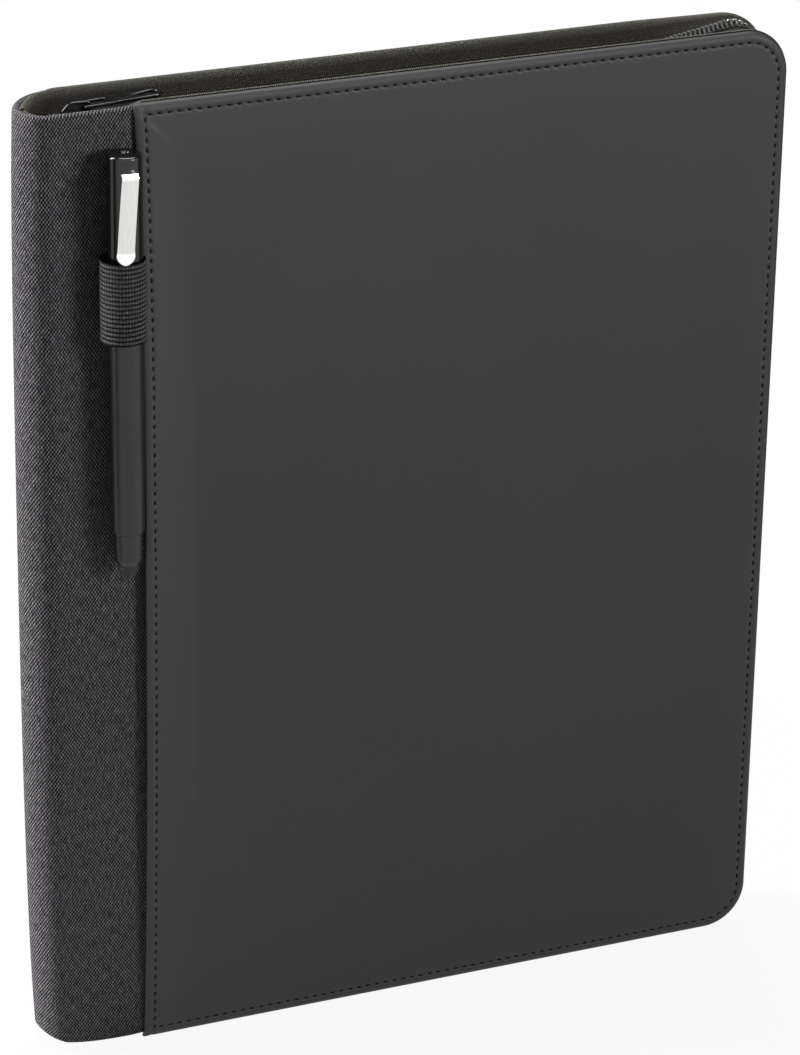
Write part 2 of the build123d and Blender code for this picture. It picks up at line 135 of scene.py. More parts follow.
def piece(name, points, made_of, body=None, stands_for=(), uv=None, thick=0):
    """A piece from a grid of points (rows, columns, xyz) in millimetres, or from many such grids at once.

    Each quad joins four neighbours. Points that fall together are merged, which closes seams and poles.
    uv holds two cloth coordinates in millimetres for each point. A sheet is thickened to both sides.
    """
    grids = points.reshape((-1,) + points.shape[-3:])
    index = np.arange(grids[..., 0].size).reshape(grids.shape[:3])
    around = [index[:, :-1, :-1], index[:, 1:, :-1], index[:, 1:, 1:], index[:, :-1, 1:]]
    quads = np.stack(around, -1).reshape(-1, 4)
    mesh = bpy.data.meshes.new(name)
    mesh.from_pydata((grids.reshape(-1, 3) * MM).tolist(), [], quads.tolist())
    if uv is not None:
        cloth_uv = mesh.uv_layers.new(name="cloth")
        cloth_uv.data.foreach_set("uv", (uv.reshape(-1, 2)[quads.ravel()] * MM).astype(np.float32).ravel())
    work = bmesh.new()
    work.from_mesh(mesh)
    bmesh.ops.remove_doubles(work, verts=work.verts, dist=1e-6)
    bmesh.ops.recalc_face_normals(work, faces=work.faces)
    work.to_mesh(mesh)
    work.free()
    mesh.shade_smooth()
    mesh.set_sharp_from_angle(angle=SHARP_ANGLE)
    mesh.materials.append(made_of)
    made = bpy.data.objects.new(name, mesh)
    bpy.context.scene.collection.objects.link(made)
    if body:
        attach(made, body)
    if stands_for:
        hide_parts(*stands_for)
    if thick:
        wall = made.modifiers.new("thickness", "SOLIDIFY")
        wall.thickness = thick * MM
        wall.offset = 0.0
    print(name, len(mesh.polygons), "faces")
    return made


def grid(*parts):
    """Coordinates side by side, each spread to the grid's shape."""
    return np.stack(np.broadcast_arrays(*parts), -1)


def eased(t):
    """0 to 1 with level ends."""
    t = np.clip(t, 0, 1)
    return t * t * (3 - 2 * t)


def unit(arrows):
    """The same directions at length one."""
    return arrows / np.linalg.norm(arrows, axis=-1, keepdims=True)


def lengths_along(line):
    """The distance walked to each point of a line."""
    return np.concatenate([[0], np.cumsum(np.linalg.norm(np.diff(line, axis=0), axis=1))])


def at_lengths(line, walked):
    """Points of a line at the given distances along it."""
    along = lengths_along(line)
    return np.stack([np.interp(walked, along, line[:, k]) for k in range(line.shape[1])], -1)


def evenly(line, count):
    """A line's points spread evenly along it."""
    return at_lengths(line, np.linspace(0, lengths_along(line)[-1], count))


def rounded_path(points, radii):
    """A polyline with round inner corners: each arc touches both runs and has the corner's radius."""
    points = np.array(points, float)
    stretches = [points[:1]]
    for before, corner, after, radius in zip(points, points[1:], points[2:], radii):
        back, on = unit(before - corner), unit(after - corner)
        half = math.acos(np.clip(back @ on, -1, 1)) / 2
        swing = math.pi - 2 * half
        centre = corner + unit(back + on) * radius / math.sin(half)
        start = corner + back * radius / math.tan(half) - centre
        end = corner + on * radius / math.tan(half) - centre
        t = np.linspace(0, 1, 3 + int(swing * 6))[:, None]
        arc = start * np.sin((1 - t) * swing) + end * np.sin(t * swing)
        stretches.append(centre + arc / math.sin(swing))
    stretches.append(points[-1:])
    return np.concatenate(stretches)


def squared(turn, power):
    """Cosine and sine of a turn, pushed outwards to a superellipse of this power."""
    return [np.sign(part) * np.abs(part) ** (2 / power) for part in (np.cos(turn), np.sin(turn))]


def turned(profile, x, y, sides=64):
    """A profile of (radius, height) carried round an upright axis through x, y."""
    turn = np.linspace(0, 2 * np.pi, sides + 1)
    radius, z = profile.T[..., None]
    return grid(x + radius * np.cos(turn), y + radius * np.sin(turn), z)


# %% [markdown]
# ## Helpers for finishes
# A colour is written as the hex value seen on a screen, and one function turns it to the linear values that
# shaders work in. One function adds a node; what makes each finish is how its nodes are joined.


# %% Finish helpers
def colour(code):
    """A screen colour such as '3e3c3d' as linear red, green, blue and alpha."""
    part = np.array([int(code[k : k + 2], 16) / 255 for k in (0, 2, 4)])
    linear = np.where(part <= 0.04045, part / 12.92, ((part + 0.055) / 1.055) ** 2.4)
    return (*linear.tolist(), 1.0)


def add(tree, kind, inputs=None, out=0, **settings):
    """Adds a shader node and gives one of its outputs, or all of them if out is None.

    settings are the node's properties, and inputs gives its sockets a value or another node's output.
    """
    node = tree.nodes.new("ShaderNode" + kind)
    for key, value in settings.items():
        setattr(node, key, value)
    for key, value in (inputs or {}).items():
        if isinstance(value, bpy.types.NodeSocket):
            tree.links.new(value, node.inputs[key])
        else:
            node.inputs[key].default_value = value
    return node.outputs if out is None else node.outputs[out]


def calc(tree, operation, *values):
    """One step of arithmetic."""
    return add(tree, "Math", dict(enumerate(values)), operation=operation)


def wave(tree, value, pitch, kind="SINE"):
    """A wave along a coordinate in metres, with its pitch in millimetres."""
    return calc(tree, kind, calc(tree, "MULTIPLY", value, 2 * math.pi / (pitch * MM)))


def span(tree, value, low, high, to_low=0.0, to_high=1.0):
    """The stretch from low to high, mapped to the stretch from to_low to to_high."""
    ends = {"From Min": low, "From Max": high, "To Min": to_low, "To Max": to_high}
    return add(tree, "MapRange", {"Value": value, **ends})


def blended(tree, share, first, second, **settings):
    """The first colour where share is 0 and the second where it is 1."""
    return add(tree, "Mix", {"Factor": share, 6: first, 7: second}, 2, data_type="RGBA", **settings)


def two_tone(tree, share, dark, pale, low=0.3, high=0.7):
    """A colour that goes from dark to pale while share goes from low to high."""
    ramp = add(tree, "ValToRGB", {"Fac": share})
    for stop, code, place in zip(ramp.node.color_ramp.elements, (dark, pale), (low, high)):
        stop.color = colour(code)
        stop.position = place
    return ramp


def finish(name, sockets):
    """A material with its shader's constants set, and its node tree and shader."""
    made = bpy.data.materials.new(name)
    made.use_nodes = True
    shader = made.node_tree.nodes["Principled BSDF"]
    for socket, value in sockets.items():
        shader.inputs[socket].default_value = value
    return made, made.node_tree, shader


def join(tree, shader, **sockets):
    """Links outputs to the shader's sockets."""
    for name, output in sockets.items():
        tree.links.new(output, shader.inputs[name.replace("_", " ")])


def surface(tree, shader, shade, rise, strength, depth):
    """Joins a colour and a bump of some depth in millimetres to the shader."""
    bump = add(tree, "Bump", {"Strength": strength, "Distance": depth * MM, "Height": rise})
    join(tree, shader, Base_Color=shade, Normal=bump)


# %% [markdown]
# ### Polyurethane leatherette
# A soft-touch skin, embossed with a fine pebble and matted. Its sheen is broad, and the colour drifts a
# little where hands and the roller have been. The pebble of the real skin is about 0.4 mm; here it is drawn
# at 0.9 mm, because anything finer is lost between the picture's pixels.

# %% Leatherette
PEBBLE = 0.9


def leatherette():
    """Pebbles and a fine noise make a shallow bump; a slow drift moves colour and roughness."""
    made, tree, shader = finish("polyurethane_leatherette", {"Roughness": 0.56, "IOR": 1.45})
    place = add(tree, "TexCoord", out="Object")
    drift = add(tree, "TexNoise", {"Vector": place, "Scale": 14.0, "Detail": 4.0, "Roughness": 0.6})
    shade = two_tone(tree, drift, "282627", "2e2c2d")
    pebble = add(tree, "TexVoronoi", {"Vector": place, "Scale": 1 / (PEBBLE * MM)}, feature="SMOOTH_F1")
    fine = add(tree, "TexNoise", {"Vector": place, "Scale": 0.6 / (PEBBLE * MM), "Detail": 3.0})
    grain = calc(tree, "ADD", pebble, fine)
    surface(tree, shader, shade, grain, 0.12, 0.1)
    join(tree, shader, Roughness=span(tree, drift, 0.0, 1.0, 0.52, 0.6))
    return made


LEATHERETTE = leatherette()
print("finish", LEATHERETTE.name)

# %% [markdown]
# ### Heathered canvas
# Plain weave: at each crossing either the upright or the level yarn lies on top. The difference of two
# slanted waves, one rising to the right and one to the left, is positive where the upright yarn is on top
# and negative where the level one is, and its size is the height of the bulge. The yarns are twisted, so
# the wave along the twist is the stronger. The upright yarns are mottled grey and the level ones nearly
# black, and a noise drawn out along each yarn makes them uneven, which the eye reads as heather.

# %% Canvas finish
WARP_PITCH = 0.55
WEFT_PITCH = 0.78
TWIST_SHARE = 0.6
SLUB = 300.0
CLOTH = {"Roughness": 0.9, "IOR": 1.45, "Specular IOR Level": 0.03}


def woven(name):
    """A cloth finish: material, tree, shader, the piece's own UV and that UV's two axes."""
    made, tree, shader = finish(name, CLOTH)
    cloth = add(tree, "UVMap", uv_map="cloth")
    axes = add(tree, "SeparateXYZ", {0: cloth}, None)
    return made, tree, shader, cloth, axes


def canvas():
    """Two slanted waves tell which yarn is on top; each yarn has its own mottled colour."""
    made, tree, shader, cloth, axes = woven("heathered_canvas")
    across = calc(tree, "MULTIPLY", axes["X"], math.pi / (WARP_PITCH * MM))
    along = calc(tree, "MULTIPLY", axes["Y"], math.pi / (WEFT_PITCH * MM))
    waves = []
    for way, share in (("SUBTRACT", TWIST_SHARE), ("ADD", TWIST_SHARE - 1)):
        slant = calc(tree, "COSINE", calc(tree, way, across, along))
        waves.append(calc(tree, "MULTIPLY", slant, share))
    over = calc(tree, "ADD", *waves)
    bulge = calc(tree, "ABSOLUTE", over)
    yarns = []
    for scale, dark, pale in (
        ((SLUB, 0.9 / (WEFT_PITCH * MM), 1.0), "0b0b0d", "1a191d"),
        ((0.9 / (WARP_PITCH * MM), SLUB, 1.0), "5a585c", "989497"),
    ):
        drawn_out = add(tree, "Mapping", {"Vector": cloth, "Scale": scale})
        mottle = add(tree, "TexNoise", {"Vector": drawn_out, "Scale": 1.0, "Detail": 2.0})
        yarns.append(two_tone(tree, mottle, dark, pale))
    top_yarn = blended(tree, span(tree, over, -0.45, 0.15), *yarns)
    # painted shade: the colour is darkened where the weave is low, in the hollows between the crossings
    painted_hollow_shade = span(tree, bulge, 0.0, 0.7, 0.5)
    shade = blended(tree, 1.0, top_yarn, painted_hollow_shade, blend_type="MULTIPLY")
    surface(tree, shader, shade, bulge, 0.7, 0.3)
    return made


CANVAS = canvas()
print("finish", CANVAS.name)

# %% [markdown]
# ### Herringbone zip tape, lining twill, elastic
# Twill lines run aslant. Where the slant turns back and forth in columns, a fold of the cross coordinate
# (ping-pong) gives the herringbone. Raised yarn is painted pale and the grooves dark, which is painted light
# and shade, roughened by a noise. The zip's tape is black. A black line in the seam is painted shade in the
# gap beside the cover. A paler strip along the cover's rim is painted light on the top of the roll. Below it
# the slant turns, and the black tape also stands for the shade in the recess. The lining is the same twill
# without columns. The elastic has thick ribs along it with fine wraps across them, painted pale on the ribs
# and dark between them, as light and shade.

# %% Woven narrow goods
TWILL_PITCH = 0.7
# the first column's width: the herringbone's slant turns there, and the strip up to it is painted paler as
# light on the top of the roll
COLUMN_AND_LIT_BAND, LIT_BAND_SOFT = 3.7, 1.3
# a black line along the seam, painted shade in the gap beside the cover's rim
SEAM_GAP_SHADE, SEAM_GAP_SHADE_SOFT = 0.78, 0.1
LINING_TWILL = 1.1
NO_COLUMNS = 1000.0
ELASTIC_RIB = 1.45
ELASTIC_WRAP = 0.95


def twill(name, pitch, column, dark, pale, depth, rim=None):
    """Slanted yarns: the sine of (length - cross coordinate), with the cross coordinate folded in columns.

    rim gives the dark and the pale tone of the first column, painted paler as light on the top of the roll.
    """
    made, tree, shader, cloth, axes = woven(name)
    folded = calc(tree, "PINGPONG", axes["Y"], column * MM)
    slant = wave(tree, calc(tree, "SUBTRACT", axes["X"], folded), pitch)
    fuzz = add(tree, "TexNoise", {"Vector": cloth, "Scale": 1 / (0.7 * MM), "Detail": 2.0})
    rise = span(tree, slant, -1.0, 1.0)
    # the colour follows the yarn's rise times a noise: painted light on the raised yarn, painted shade in the
    # grooves
    painted_relief_light_and_fuzz = calc(tree, "MULTIPLY", rise, fuzz)
    shade = two_tone(tree, painted_relief_light_and_fuzz, dark, pale, 0.0, 0.6)
    # painted light: the first column, along the cover's rim, takes the paler rim tones for the lit top of the
    # roll; the black tape below also stands for the recess's shade
    if rim:
        band = two_tone(tree, painted_relief_light_and_fuzz, *rim, 0.0, 0.6)
        # the loop paints the lit rim strip in, then a black line of painted shade where the tape leaves the
        # seam
        for edge, soft, before in ((column, LIT_BAND_SOFT, band), (SEAM_GAP_SHADE, SEAM_GAP_SHADE_SOFT, colour(dark))):
            past = span(tree, axes["Y"], (edge - soft) * MM, (edge + soft) * MM)
            shade = blended(tree, past, before, shade)
    surface(tree, shader, shade, rise, 0.6, depth)
    return made


def elastic():
    """Ribs along the band times wraps across it, as bump and as colour."""
    made, tree, shader, cloth, axes = woven("ribbed_elastic")
    rib = span(tree, wave(tree, axes["Y"], ELASTIC_RIB, "COSINE"), -1.0, 1.0)
    thread = span(tree, wave(tree, axes["X"], ELASTIC_WRAP), -1.0, 1.0, 0.45)
    rise = calc(tree, "MULTIPLY", rib, thread)
    fuzz = add(tree, "TexNoise", {"Vector": cloth, "Scale": 1 / (0.9 * MM), "Detail": 2.0})
    # the colour follows the rise times a noise: painted light on the ribs, painted shade between them
    shade = two_tone(tree, calc(tree, "MULTIPLY", rise, fuzz), "131314", "6a696c", 0.0, 0.6)
    surface(tree, shader, shade, rise, 0.6, 0.2)
    return made


# the last pair is the rim strip's tones, painted paler as light on the top of the roll
TAPE = twill("herringbone_zip_tape", TWILL_PITCH, COLUMN_AND_LIT_BAND, "090808", "4a4743", 0.3, ("1e1e19", "7e7d74"))
LINING = twill("polyester_lining_twill", LINING_TWILL, NO_COLUMNS, "1b1b1d", "3f3f42", 0.15)
ELASTIC = elastic()
print("finishes", TAPE.name, LINING.name, ELASTIC.name)

# %% [markdown]
# ### Hard finishes
# Nylon, lacquered zinc, injection-moulded ABS in gloss and satin, silicone rubber, brushed spring steel,
# and the rough ones: thread, greyboard, crepe paper. These are nearly one colour, so what tells them apart
# is the gloss: a noise moves each one's roughness a little, as fingerprints, moulding and brushing do.


# %% Hard finishes
def hard(name, sockets, dark, pale, grit, gloss, stretch=(1.0, 1.0, 1.0), depth=0.0):
    """A hard surface: colour and roughness follow one noise with grains of grit millimetres."""
    made, tree, shader = finish(name, sockets)
    drawn = add(tree, "Mapping", {"Vector": add(tree, "TexCoord", out="Object"), "Scale": stretch})
    noise = add(tree, "TexNoise", {"Vector": drawn, "Scale": 1 / (grit * MM), "Detail": 4.0})
    shade = two_tone(tree, noise, dark, pale)
    join(tree, shader, Base_Color=shade, Roughness=span(tree, noise, 0.0, 1.0, *gloss))
    if depth:
        surface(tree, shader, shade, noise, 0.3, depth)
    return made


PLASTIC, CARD, METAL = {"IOR": 1.5}, {"IOR": 1.45}, {"Metallic": 1.0}
SPUN = {"IOR": 1.5, "Specular IOR Level": 0.1}
NYLON = hard("nylon_monofilament", PLASTIC, "464646", "5a5a5a", 3.0, (0.16, 0.26))
LACQUER = hard("black_lacquered_zinc", PLASTIC, "0a0a0b", "161617", 2.5, (0.1, 0.24))
GLOSS_ABS = hard("gloss_black_abs", PLASTIC, "070707", "0b0a0a", 12.0, (0.13, 0.19))
SATIN_ABS = hard("satin_black_abs", PLASTIC, "0a0a0a", "100f0f", 8.0, (0.3, 0.38))
RUBBER = hard("silicone_rubber", {"IOR": 1.42}, "18181a", "232326", 1.5, (0.6, 0.75))
STEEL = hard("brushed_spring_steel", METAL, "e0dedb", "e9e7e4", 0.4, (0.2, 0.26), (1.0, 1.0, 0.03), 0.003)
THREAD = hard("bonded_polyester_thread", SPUN, "040404", "0a0a0a", 0.3, (0.6, 0.8))
BASTING = hard("spun_polyester_thread", SPUN, "2c2a28", "44413e", 0.3, (0.7, 0.9))
GREYBOARD = hard("greyboard", CARD, "857d72", "a0978a", 1.2, (0.85, 0.95), depth=0.05)
INK_TUBE = hard("polypropylene_ink_tube", PLASTIC, "c4c4c2", "d6d6d4", 6.0, (0.3, 0.4))
BINDING = hard("crepe_binding_paper", CARD, "36363a", "45454a", 0.8, (0.75, 0.9), (1.0, 1.0, 4.0), 0.05)
print(len(bpy.data.materials), "finishes so far")

# %% [markdown]
# ### Ruled writing paper
# White paper with pale blue lines. The lines are drawn from the height above the foot: the remainder of
# that height by the line spacing is small only on a line. Seen from the edge, the sheets show as fine
# strata: greyer bands, painted as the shade in the gaps between sheets.

# %% Paper
RULE_SPACING = 7.1
RULE_WIDTH = 0.35
SHEET_GAP_SHADE_PITCH = 0.5


def ruled_paper():
    """Lines on the front face, strata on the edges and a bump of fibres."""
    made, tree, shader = finish("ruled_writing_paper", {"Roughness": 0.9, "IOR": 1.45})
    place = add(tree, "TexCoord", out="Object")
    axes = add(tree, "SeparateXYZ", {0: place}, None)
    on_line = calc(tree, "LESS_THAN", calc(tree, "MODULO", axes["Z"], RULE_SPACING * MM), RULE_WIDTH * MM)
    facing = add(tree, "SeparateXYZ", {0: add(tree, "NewGeometry", out="True Normal")}, "Y")
    front = calc(tree, "LESS_THAN", facing, -0.5)
    # painted shade: greyer bands through the edges where the gaps between the sheets lie
    edge = span(tree, wave(tree, axes["Y"], SHEET_GAP_SHADE_PITCH), -1.0, 1.0, 0.78, 0.9)
    white = add(tree, "CombineColor", {"Red": edge, "Green": edge, "Blue": edge})
    sheet = blended(tree, front, white, colour("efeee9"))
    inked = blended(tree, calc(tree, "MULTIPLY", on_line, front), sheet, colour("9fb4cf"))
    fibre = add(tree, "TexNoise", {"Vector": place, "Scale": 1 / (0.8 * MM), "Detail": 3.0})
    surface(tree, shader, inked, fibre, 0.1, 0.05)
    return made


PAPER = ruled_paper()
print("finish", PAPER.name)

# %% [markdown]
# ## Cover panels
# Each cover is a leatherette panel on foam and board. Its edge is turned round the board and sewn down, so
# the rim is a soft roll, then comes a dented row of stitches, then the wide flat. All of it is one family
# of rings: the outline moved inwards by an inset, at a depth that belongs to that inset. The last ring
# closes on the panel's middle line.

# %% Panel rings
CORNER_RADIUS = 15.0
SEAM_BOW = 1.60
STITCH_INSET = 3.4
STITCH_PITCH = 3.22
RING_STEP = 0.62


def seam_line(z, share=1.0):
    """Where the seam lies: it bows away from the spine, slowly from the foot and quickly from the top."""
    t = 2 * z / height - 1
    return seam_x + SEAM_BOW * share * (1 - np.where(t < 0, t**2 - 0.55 * t**4, t**4))


def panel_rings(insets):
    """The outline moved in by each inset: top, corner, fore-edge, corner, foot, bowed seam."""
    inset = np.asarray(insets, float)[:, None]
    reach = (fore_x - seam_x) / 2
    radius = np.maximum(CORNER_RADIUS - inset, 0.02)
    right, foot, top = fore_x - inset - radius, inset, height - inset

    def seam(z):
        """The seam of each ring, with a bow that fades out towards the middle."""
        return seam_line(z, 1 - inset / reach) + inset

    lengths = fore_x - seam_x, CORNER_RADIUS * 1.57, height
    across, arc, side = (np.linspace(0, 1, int(length / RING_STEP))[None, :] for length in lengths)
    angle = np.pi / 2 * (1 - arc)
    seam_z = foot + (top - foot) * side
    x = [
        seam(top) + (right - seam(top)) * across,
        right + radius * np.cos(angle),
        right + radius + 0 * side,
        right + radius * np.sin(angle),
        right + (seam(foot) - right) * across,
        seam(seam_z),
    ]
    z = [
        top + 0 * across,
        top - radius + radius * np.sin(angle),
        top - radius + (foot - top + 2 * radius) * side,
        foot + radius - radius * np.cos(angle),
        foot + 0 * across,
        seam_z,
    ]
    rings = grid(np.concatenate(x, 1), np.concatenate(z, 1))
    on_seam = np.zeros(rings.shape[1])
    on_seam[-side.size :] = 1 - eased(np.abs(2 * side[0] - 1) * 60 - 59)
    return rings, on_seam


(stitch_ring,), stitch_on_seam = panel_rings([STITCH_INSET])
stitch_lengths = lengths_along(stitch_ring)
stitch_count = round(stitch_lengths[-1] / STITCH_PITCH)
stitch_pitch = stitch_lengths[-1] / stitch_count
print(stitch_count, "stitches round a panel,", round(stitch_pitch, 2), "mm apart")

# %% [markdown]
# The rim's profile is a quarter ellipse that ends in the flat. Along the seam with the canvas the panel is
# only folded under, so the rim there is scaled down to the height at which it lies on the canvas, and
# half-way up, where the pen pulls at the seam, this lip stands proud. The flat is a little uneven, as foam
# is.

# %% Panels
ROLL_WIDTH = 2.8
ROLL_DEPTH = 2.2
SEAM_LIP = canvas_depth / rim_depth
DENT, DENT_WIDTH = 0.5, 0.5
EDGE_SINK, EDGE_EASE = 0.3, 12.0
LIP_RISE, LIP_REACH = {"front": 3.2, "rear": 0.4}, 14.0
ROW_STEPS = (-0.35, -0.17, 0, 0.17, 0.35, 0.6, 1.0, 1.8, 3.2, 5.2)
FOAM_WAVE, FOAM_LONG, FOAM_TALL = 0.09, 31, 43
GROOVE, GROOVE_WIDTH = 0.35, 0.45


def relief(inset, x, z, on_seam, side):
    """The skin's depth below the cover's face beside its profile: sunk at the edge, proud at the seam."""
    inner = eased((inset - ROLL_WIDTH) / EDGE_EASE)
    sink = EDGE_SINK * (1 - inner) * eased(inset / ROLL_WIDTH) * (1 - on_seam)
    t = 2 * z / height - 1
    proud = LIP_RISE[side] * (1 - np.where(t < 0, t**4, t**2)) * (1 - eased((x - seam_line(z)) / LIP_REACH))
    return sink - proud + FOAM_WAVE * inner * np.sin(x / FOAM_LONG + 0.7) * np.sin(z / FOAM_TALL + 1.9)


def panel_points(side):
    """Rings of rim, roll, stitch row and flat; the depth is the rim's profile plus dents and relief."""
    swing = np.linspace(0, np.pi / 2, 9)
    rim = [(rim_depth * 0.5, rim_depth), (0.5, rim_depth), (0.12, rim_depth - 0.15), (0, rim_depth - 0.6)]
    roll = grid(ROLL_WIDTH * (1 - np.cos(swing)), ROLL_DEPTH * (1 - np.sin(swing)))
    flat = np.linspace(STITCH_INSET + 8, (fore_x - seam_x) / 2, 16)
    level = np.concatenate([STITCH_INSET + np.array(ROW_STEPS), flat])
    profile = np.concatenate([rim, roll, grid(level, 0)])
    rings, on_seam = panel_rings(profile[:, 0])
    x, z = rings[..., 0], rings[..., 1]
    inset = profile[:, :1]
    depth = profile[:, 1:] * (1 - (1 - SEAM_LIP) * on_seam)
    beat = 0.55 - 0.45 * np.cos(2 * np.pi * stitch_lengths / stitch_pitch)
    depth = depth + DENT * np.exp(-(((inset - STITCH_INSET) / DENT_WIDTH) ** 2)) * beat
    depth = depth + relief(inset, x, z, on_seam, side)
    margin = eased(STITCH_INSET + 1 - np.minimum(z, height - z))
    depth = depth + GROOVE * margin * np.exp(-(((x - seam_x - STITCH_INSET) / GROOVE_WIDTH) ** 2))
    return grid(x, cover_y(depth, side), z)


for side in SIDES:
    skin = [side + "_cover_skin"]
    made = piece(side + "_panel", panel_points(side), LEATHERETTE, side + "_half", skin)

# %% [markdown]
# Each stitch is a short bead of thread: an ellipse carried along the stitch row, swelling from nothing to
# full width and back. All the beads of a panel are one array, so a few dozen faces each are enough.

# %% Stitches
STITCH_LENGTH = 1.85
THREAD_WIDTH = 0.62
THREAD_RISE = 0.28
THREAD_SEAT = 0.75


def beads(line, depth, side, count, pitch):
    """Beads of thread along a line in X and Z: width follows a rounded bump, and the section is an ellipse.

    depth is one value or one for each point of the line.
    """
    along = np.linspace(-1, 1, 7)
    round_it = np.linspace(0, 2 * np.pi, 7)
    walked = (np.arange(count) + 0.5)[:, None] * pitch + along * STITCH_LENGTH / 2
    points = at_lengths(line, walked)
    depth = np.interp(walked, lengths_along(line), np.broadcast_to(depth, len(line)))[..., None]
    ahead = unit(at_lengths(line, walked + 0.05) - at_lengths(line, walked - 0.05))
    swell = np.sqrt(np.clip(1 - along**4, 0, 1))[None, :, None]
    sideways = THREAD_WIDTH / 2 * swell * np.cos(round_it)
    rise = THREAD_RISE * swell * np.sin(round_it)
    x = points[..., :1] - ahead[..., 1:] * sideways
    z = points[..., 1:] + ahead[..., :1] * sideways
    return grid(x, cover_y(depth - rise, side), z)


for side in SIDES:
    stitch_depth = DENT * THREAD_SEAT + relief(STITCH_INSET, *stitch_ring.T, stitch_on_seam, side)
    threads = beads(stitch_ring, stitch_depth, side, stitch_count, stitch_pitch)
    piece(side + "_panel_stitches", threads, THREAD, side + "_half")

# %% [markdown]
# ## Canvas round the spine
# One strip of canvas goes from the front panel's seam round the spine to the rear panel's seam. It bends at
# two fold lines when the padfolio opens, and a piece can bend across one joint only, so the strip is made
# in two halves that meet on the middle of the spine, where both follow the spine. In plan a half is a
# straight run and a quarter of a superellipse, boxier in front than behind. The soft back is drawn in
# towards the top and foot, where nothing stiffens it, and its lower hem is lifted off the floor.

# %% Canvas
CLOTH_THICK = 0.5
TUCK = 7.0
BACK_POWER = {"front": 2.15, "rear": 1.6}
BACK_START = {"front": fold_x, "rear": fold_x + 4.0}
BACK_BULGE = 1.3
RUN_GAP, FIRST_SWING = 0.4, 0.02
TOP_DRAW, TOP_FADE = 1.3, 35.0
FOOT_DRAW, FOOT_FADE = 3.1, 58.0
FOLD_LIFT, LIFT_POWER = {"front": 2.0, "rear": 0.6}, {"front": 1.0, "rear": 1.4}
BACK_LIFT, LIFT_FADE, REAR_RISE = 5.1, 40.0, 1.0
SEAM_DIP, DIP_WIDTH = 0.5, 4.0
HEM_ROLL, HEM_TURN, HEM_TRIM = 1.05, 9.0, 0.7
canvas_foot, canvas_top = canvas_lo[2] + HEM_TRIM, canvas_hi[2]


def spine_half(depth, z, straight, swing, side):
    """Plan of one half of the back at the heights z, at a depth below the canvas: x and depth from the cover.

    The run goes along the cover to the fold, and the back is a superellipse from there to the spine's middle.
    """
    z = z[:, None]
    drawn = TOP_DRAW * np.exp((z - height) / TOP_FADE) + FOOT_DRAW * np.exp(-z / FOOT_FADE)
    out = BACK_START[side] - spine_x + BACK_BULGE - depth - drawn
    deep = half_book - canvas_depth - depth
    power = 2 / BACK_POWER[side]
    x = np.concatenate([straight + 0 * z, BACK_START[side] - out * np.sin(swing) ** power], 1)
    t = np.concatenate([0 * straight + 0 * z, deep * (1 - np.cos(swing) ** power) + 0 * z], 1)
    return x, canvas_depth + depth + t


def run_lift(x, side):
    """How far the lower hem rises over the floor along a cover: as the cube of the way to the fold."""
    return FOLD_LIFT[side] * np.clip((seam_x - x) / (seam_x - BACK_START[side]), 0, 1) ** 3


def foot_lift(straight, swing, side):
    """The lower hem's rise: along the cover, then as a power of the sine round the back."""
    back = FOLD_LIFT[side] + (BACK_LIFT - FOLD_LIFT[side]) * np.sin(swing) ** LIFT_POWER[side]
    return np.concatenate([run_lift(straight, side), back])


def lifted(z, straight, swing, side):
    """Heights plus the foot's lift, which fades out upwards, and the rear top hem's rise."""
    rise = REAR_RISE * (side == "rear") * np.concatenate([0 * straight + 1, 1 - np.sin(swing) ** 8])
    foot = foot_lift(straight, swing, side) * np.clip(1 - z / LIFT_FADE, 0, 1) ** 2
    return z + foot + rise * np.clip(1 - (height - z) / LIFT_FADE, 0, 1) ** 2


def hem_profile(foot, top):
    """Depth and height down a hemmed strip: up inside the hem, over a half round, down the face."""
    swing = np.linspace(np.pi, 0, 9)
    turn = grid(HEM_ROLL * (1 - np.cos(swing)), top - HEM_ROLL + HEM_ROLL * np.sin(swing))
    inside = grid(2 * HEM_ROLL, np.linspace(top - HEM_TURN, top - HEM_ROLL - 0.5, 5))
    upper = np.concatenate([inside, turn])
    lower = grid(upper[:, 0], foot + top - upper[:, 1])[::-1]
    face = grid(0, np.linspace(top - HEM_ROLL - 1, foot + HEM_ROLL + 1, 110))
    return np.concatenate([upper, face, lower])


def canvas_half(side):
    """The hem's profile carried along the plan of the back; beside the panel's lip the cloth dips."""
    profile = hem_profile(canvas_foot, canvas_top)
    straight = np.linspace(seam_x + TUCK, BACK_START[side] + RUN_GAP, 40)
    swing = np.linspace(FIRST_SWING, np.pi / 2, 30)
    x, t = spine_half(0.0, profile[:, 1], straight, swing, side)
    inner_x, inner_t = spine_half(2 * HEM_ROLL, profile[:, 1], straight, swing, side)
    inward = profile[:, :1] / (2 * HEM_ROLL)
    x, t = x + (inner_x - x) * inward, t + (inner_t - t) * inward
    t = t + SEAM_DIP * (1 - inward) * (1 - eased((seam_line(profile[:, 1:]) - x) / DIP_WIDTH))
    z = lifted(profile[:, 1:], straight, swing, side)
    girth = lengths_along(grid(x[60], t[60]))
    walked = lengths_along(profile)
    return grid(x, cover_y(t, side), z), grid(girth, walked[:, None]), (girth[-1] * MM, walked[-1] * MM)


def bend(made):
    """Bakes a piece's placement into its mesh."""
    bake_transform(made)


def bent_cloth(side, slot, made_of, points, uv, flat):
    """One half of a cloth that lies on the boards and bends round the spine; it stands for three solids."""
    stands_for = [side + "_" + slot, side + "_fold_" + slot, "spine_" + slot]
    made = piece(side + "_" + slot + "_cloth", points, made_of, None, stands_for, uv, CLOTH_THICK)
    bend(made)


for side in SIDES:
    bent_cloth(side, "canvas", CANVAS, *canvas_half(side))

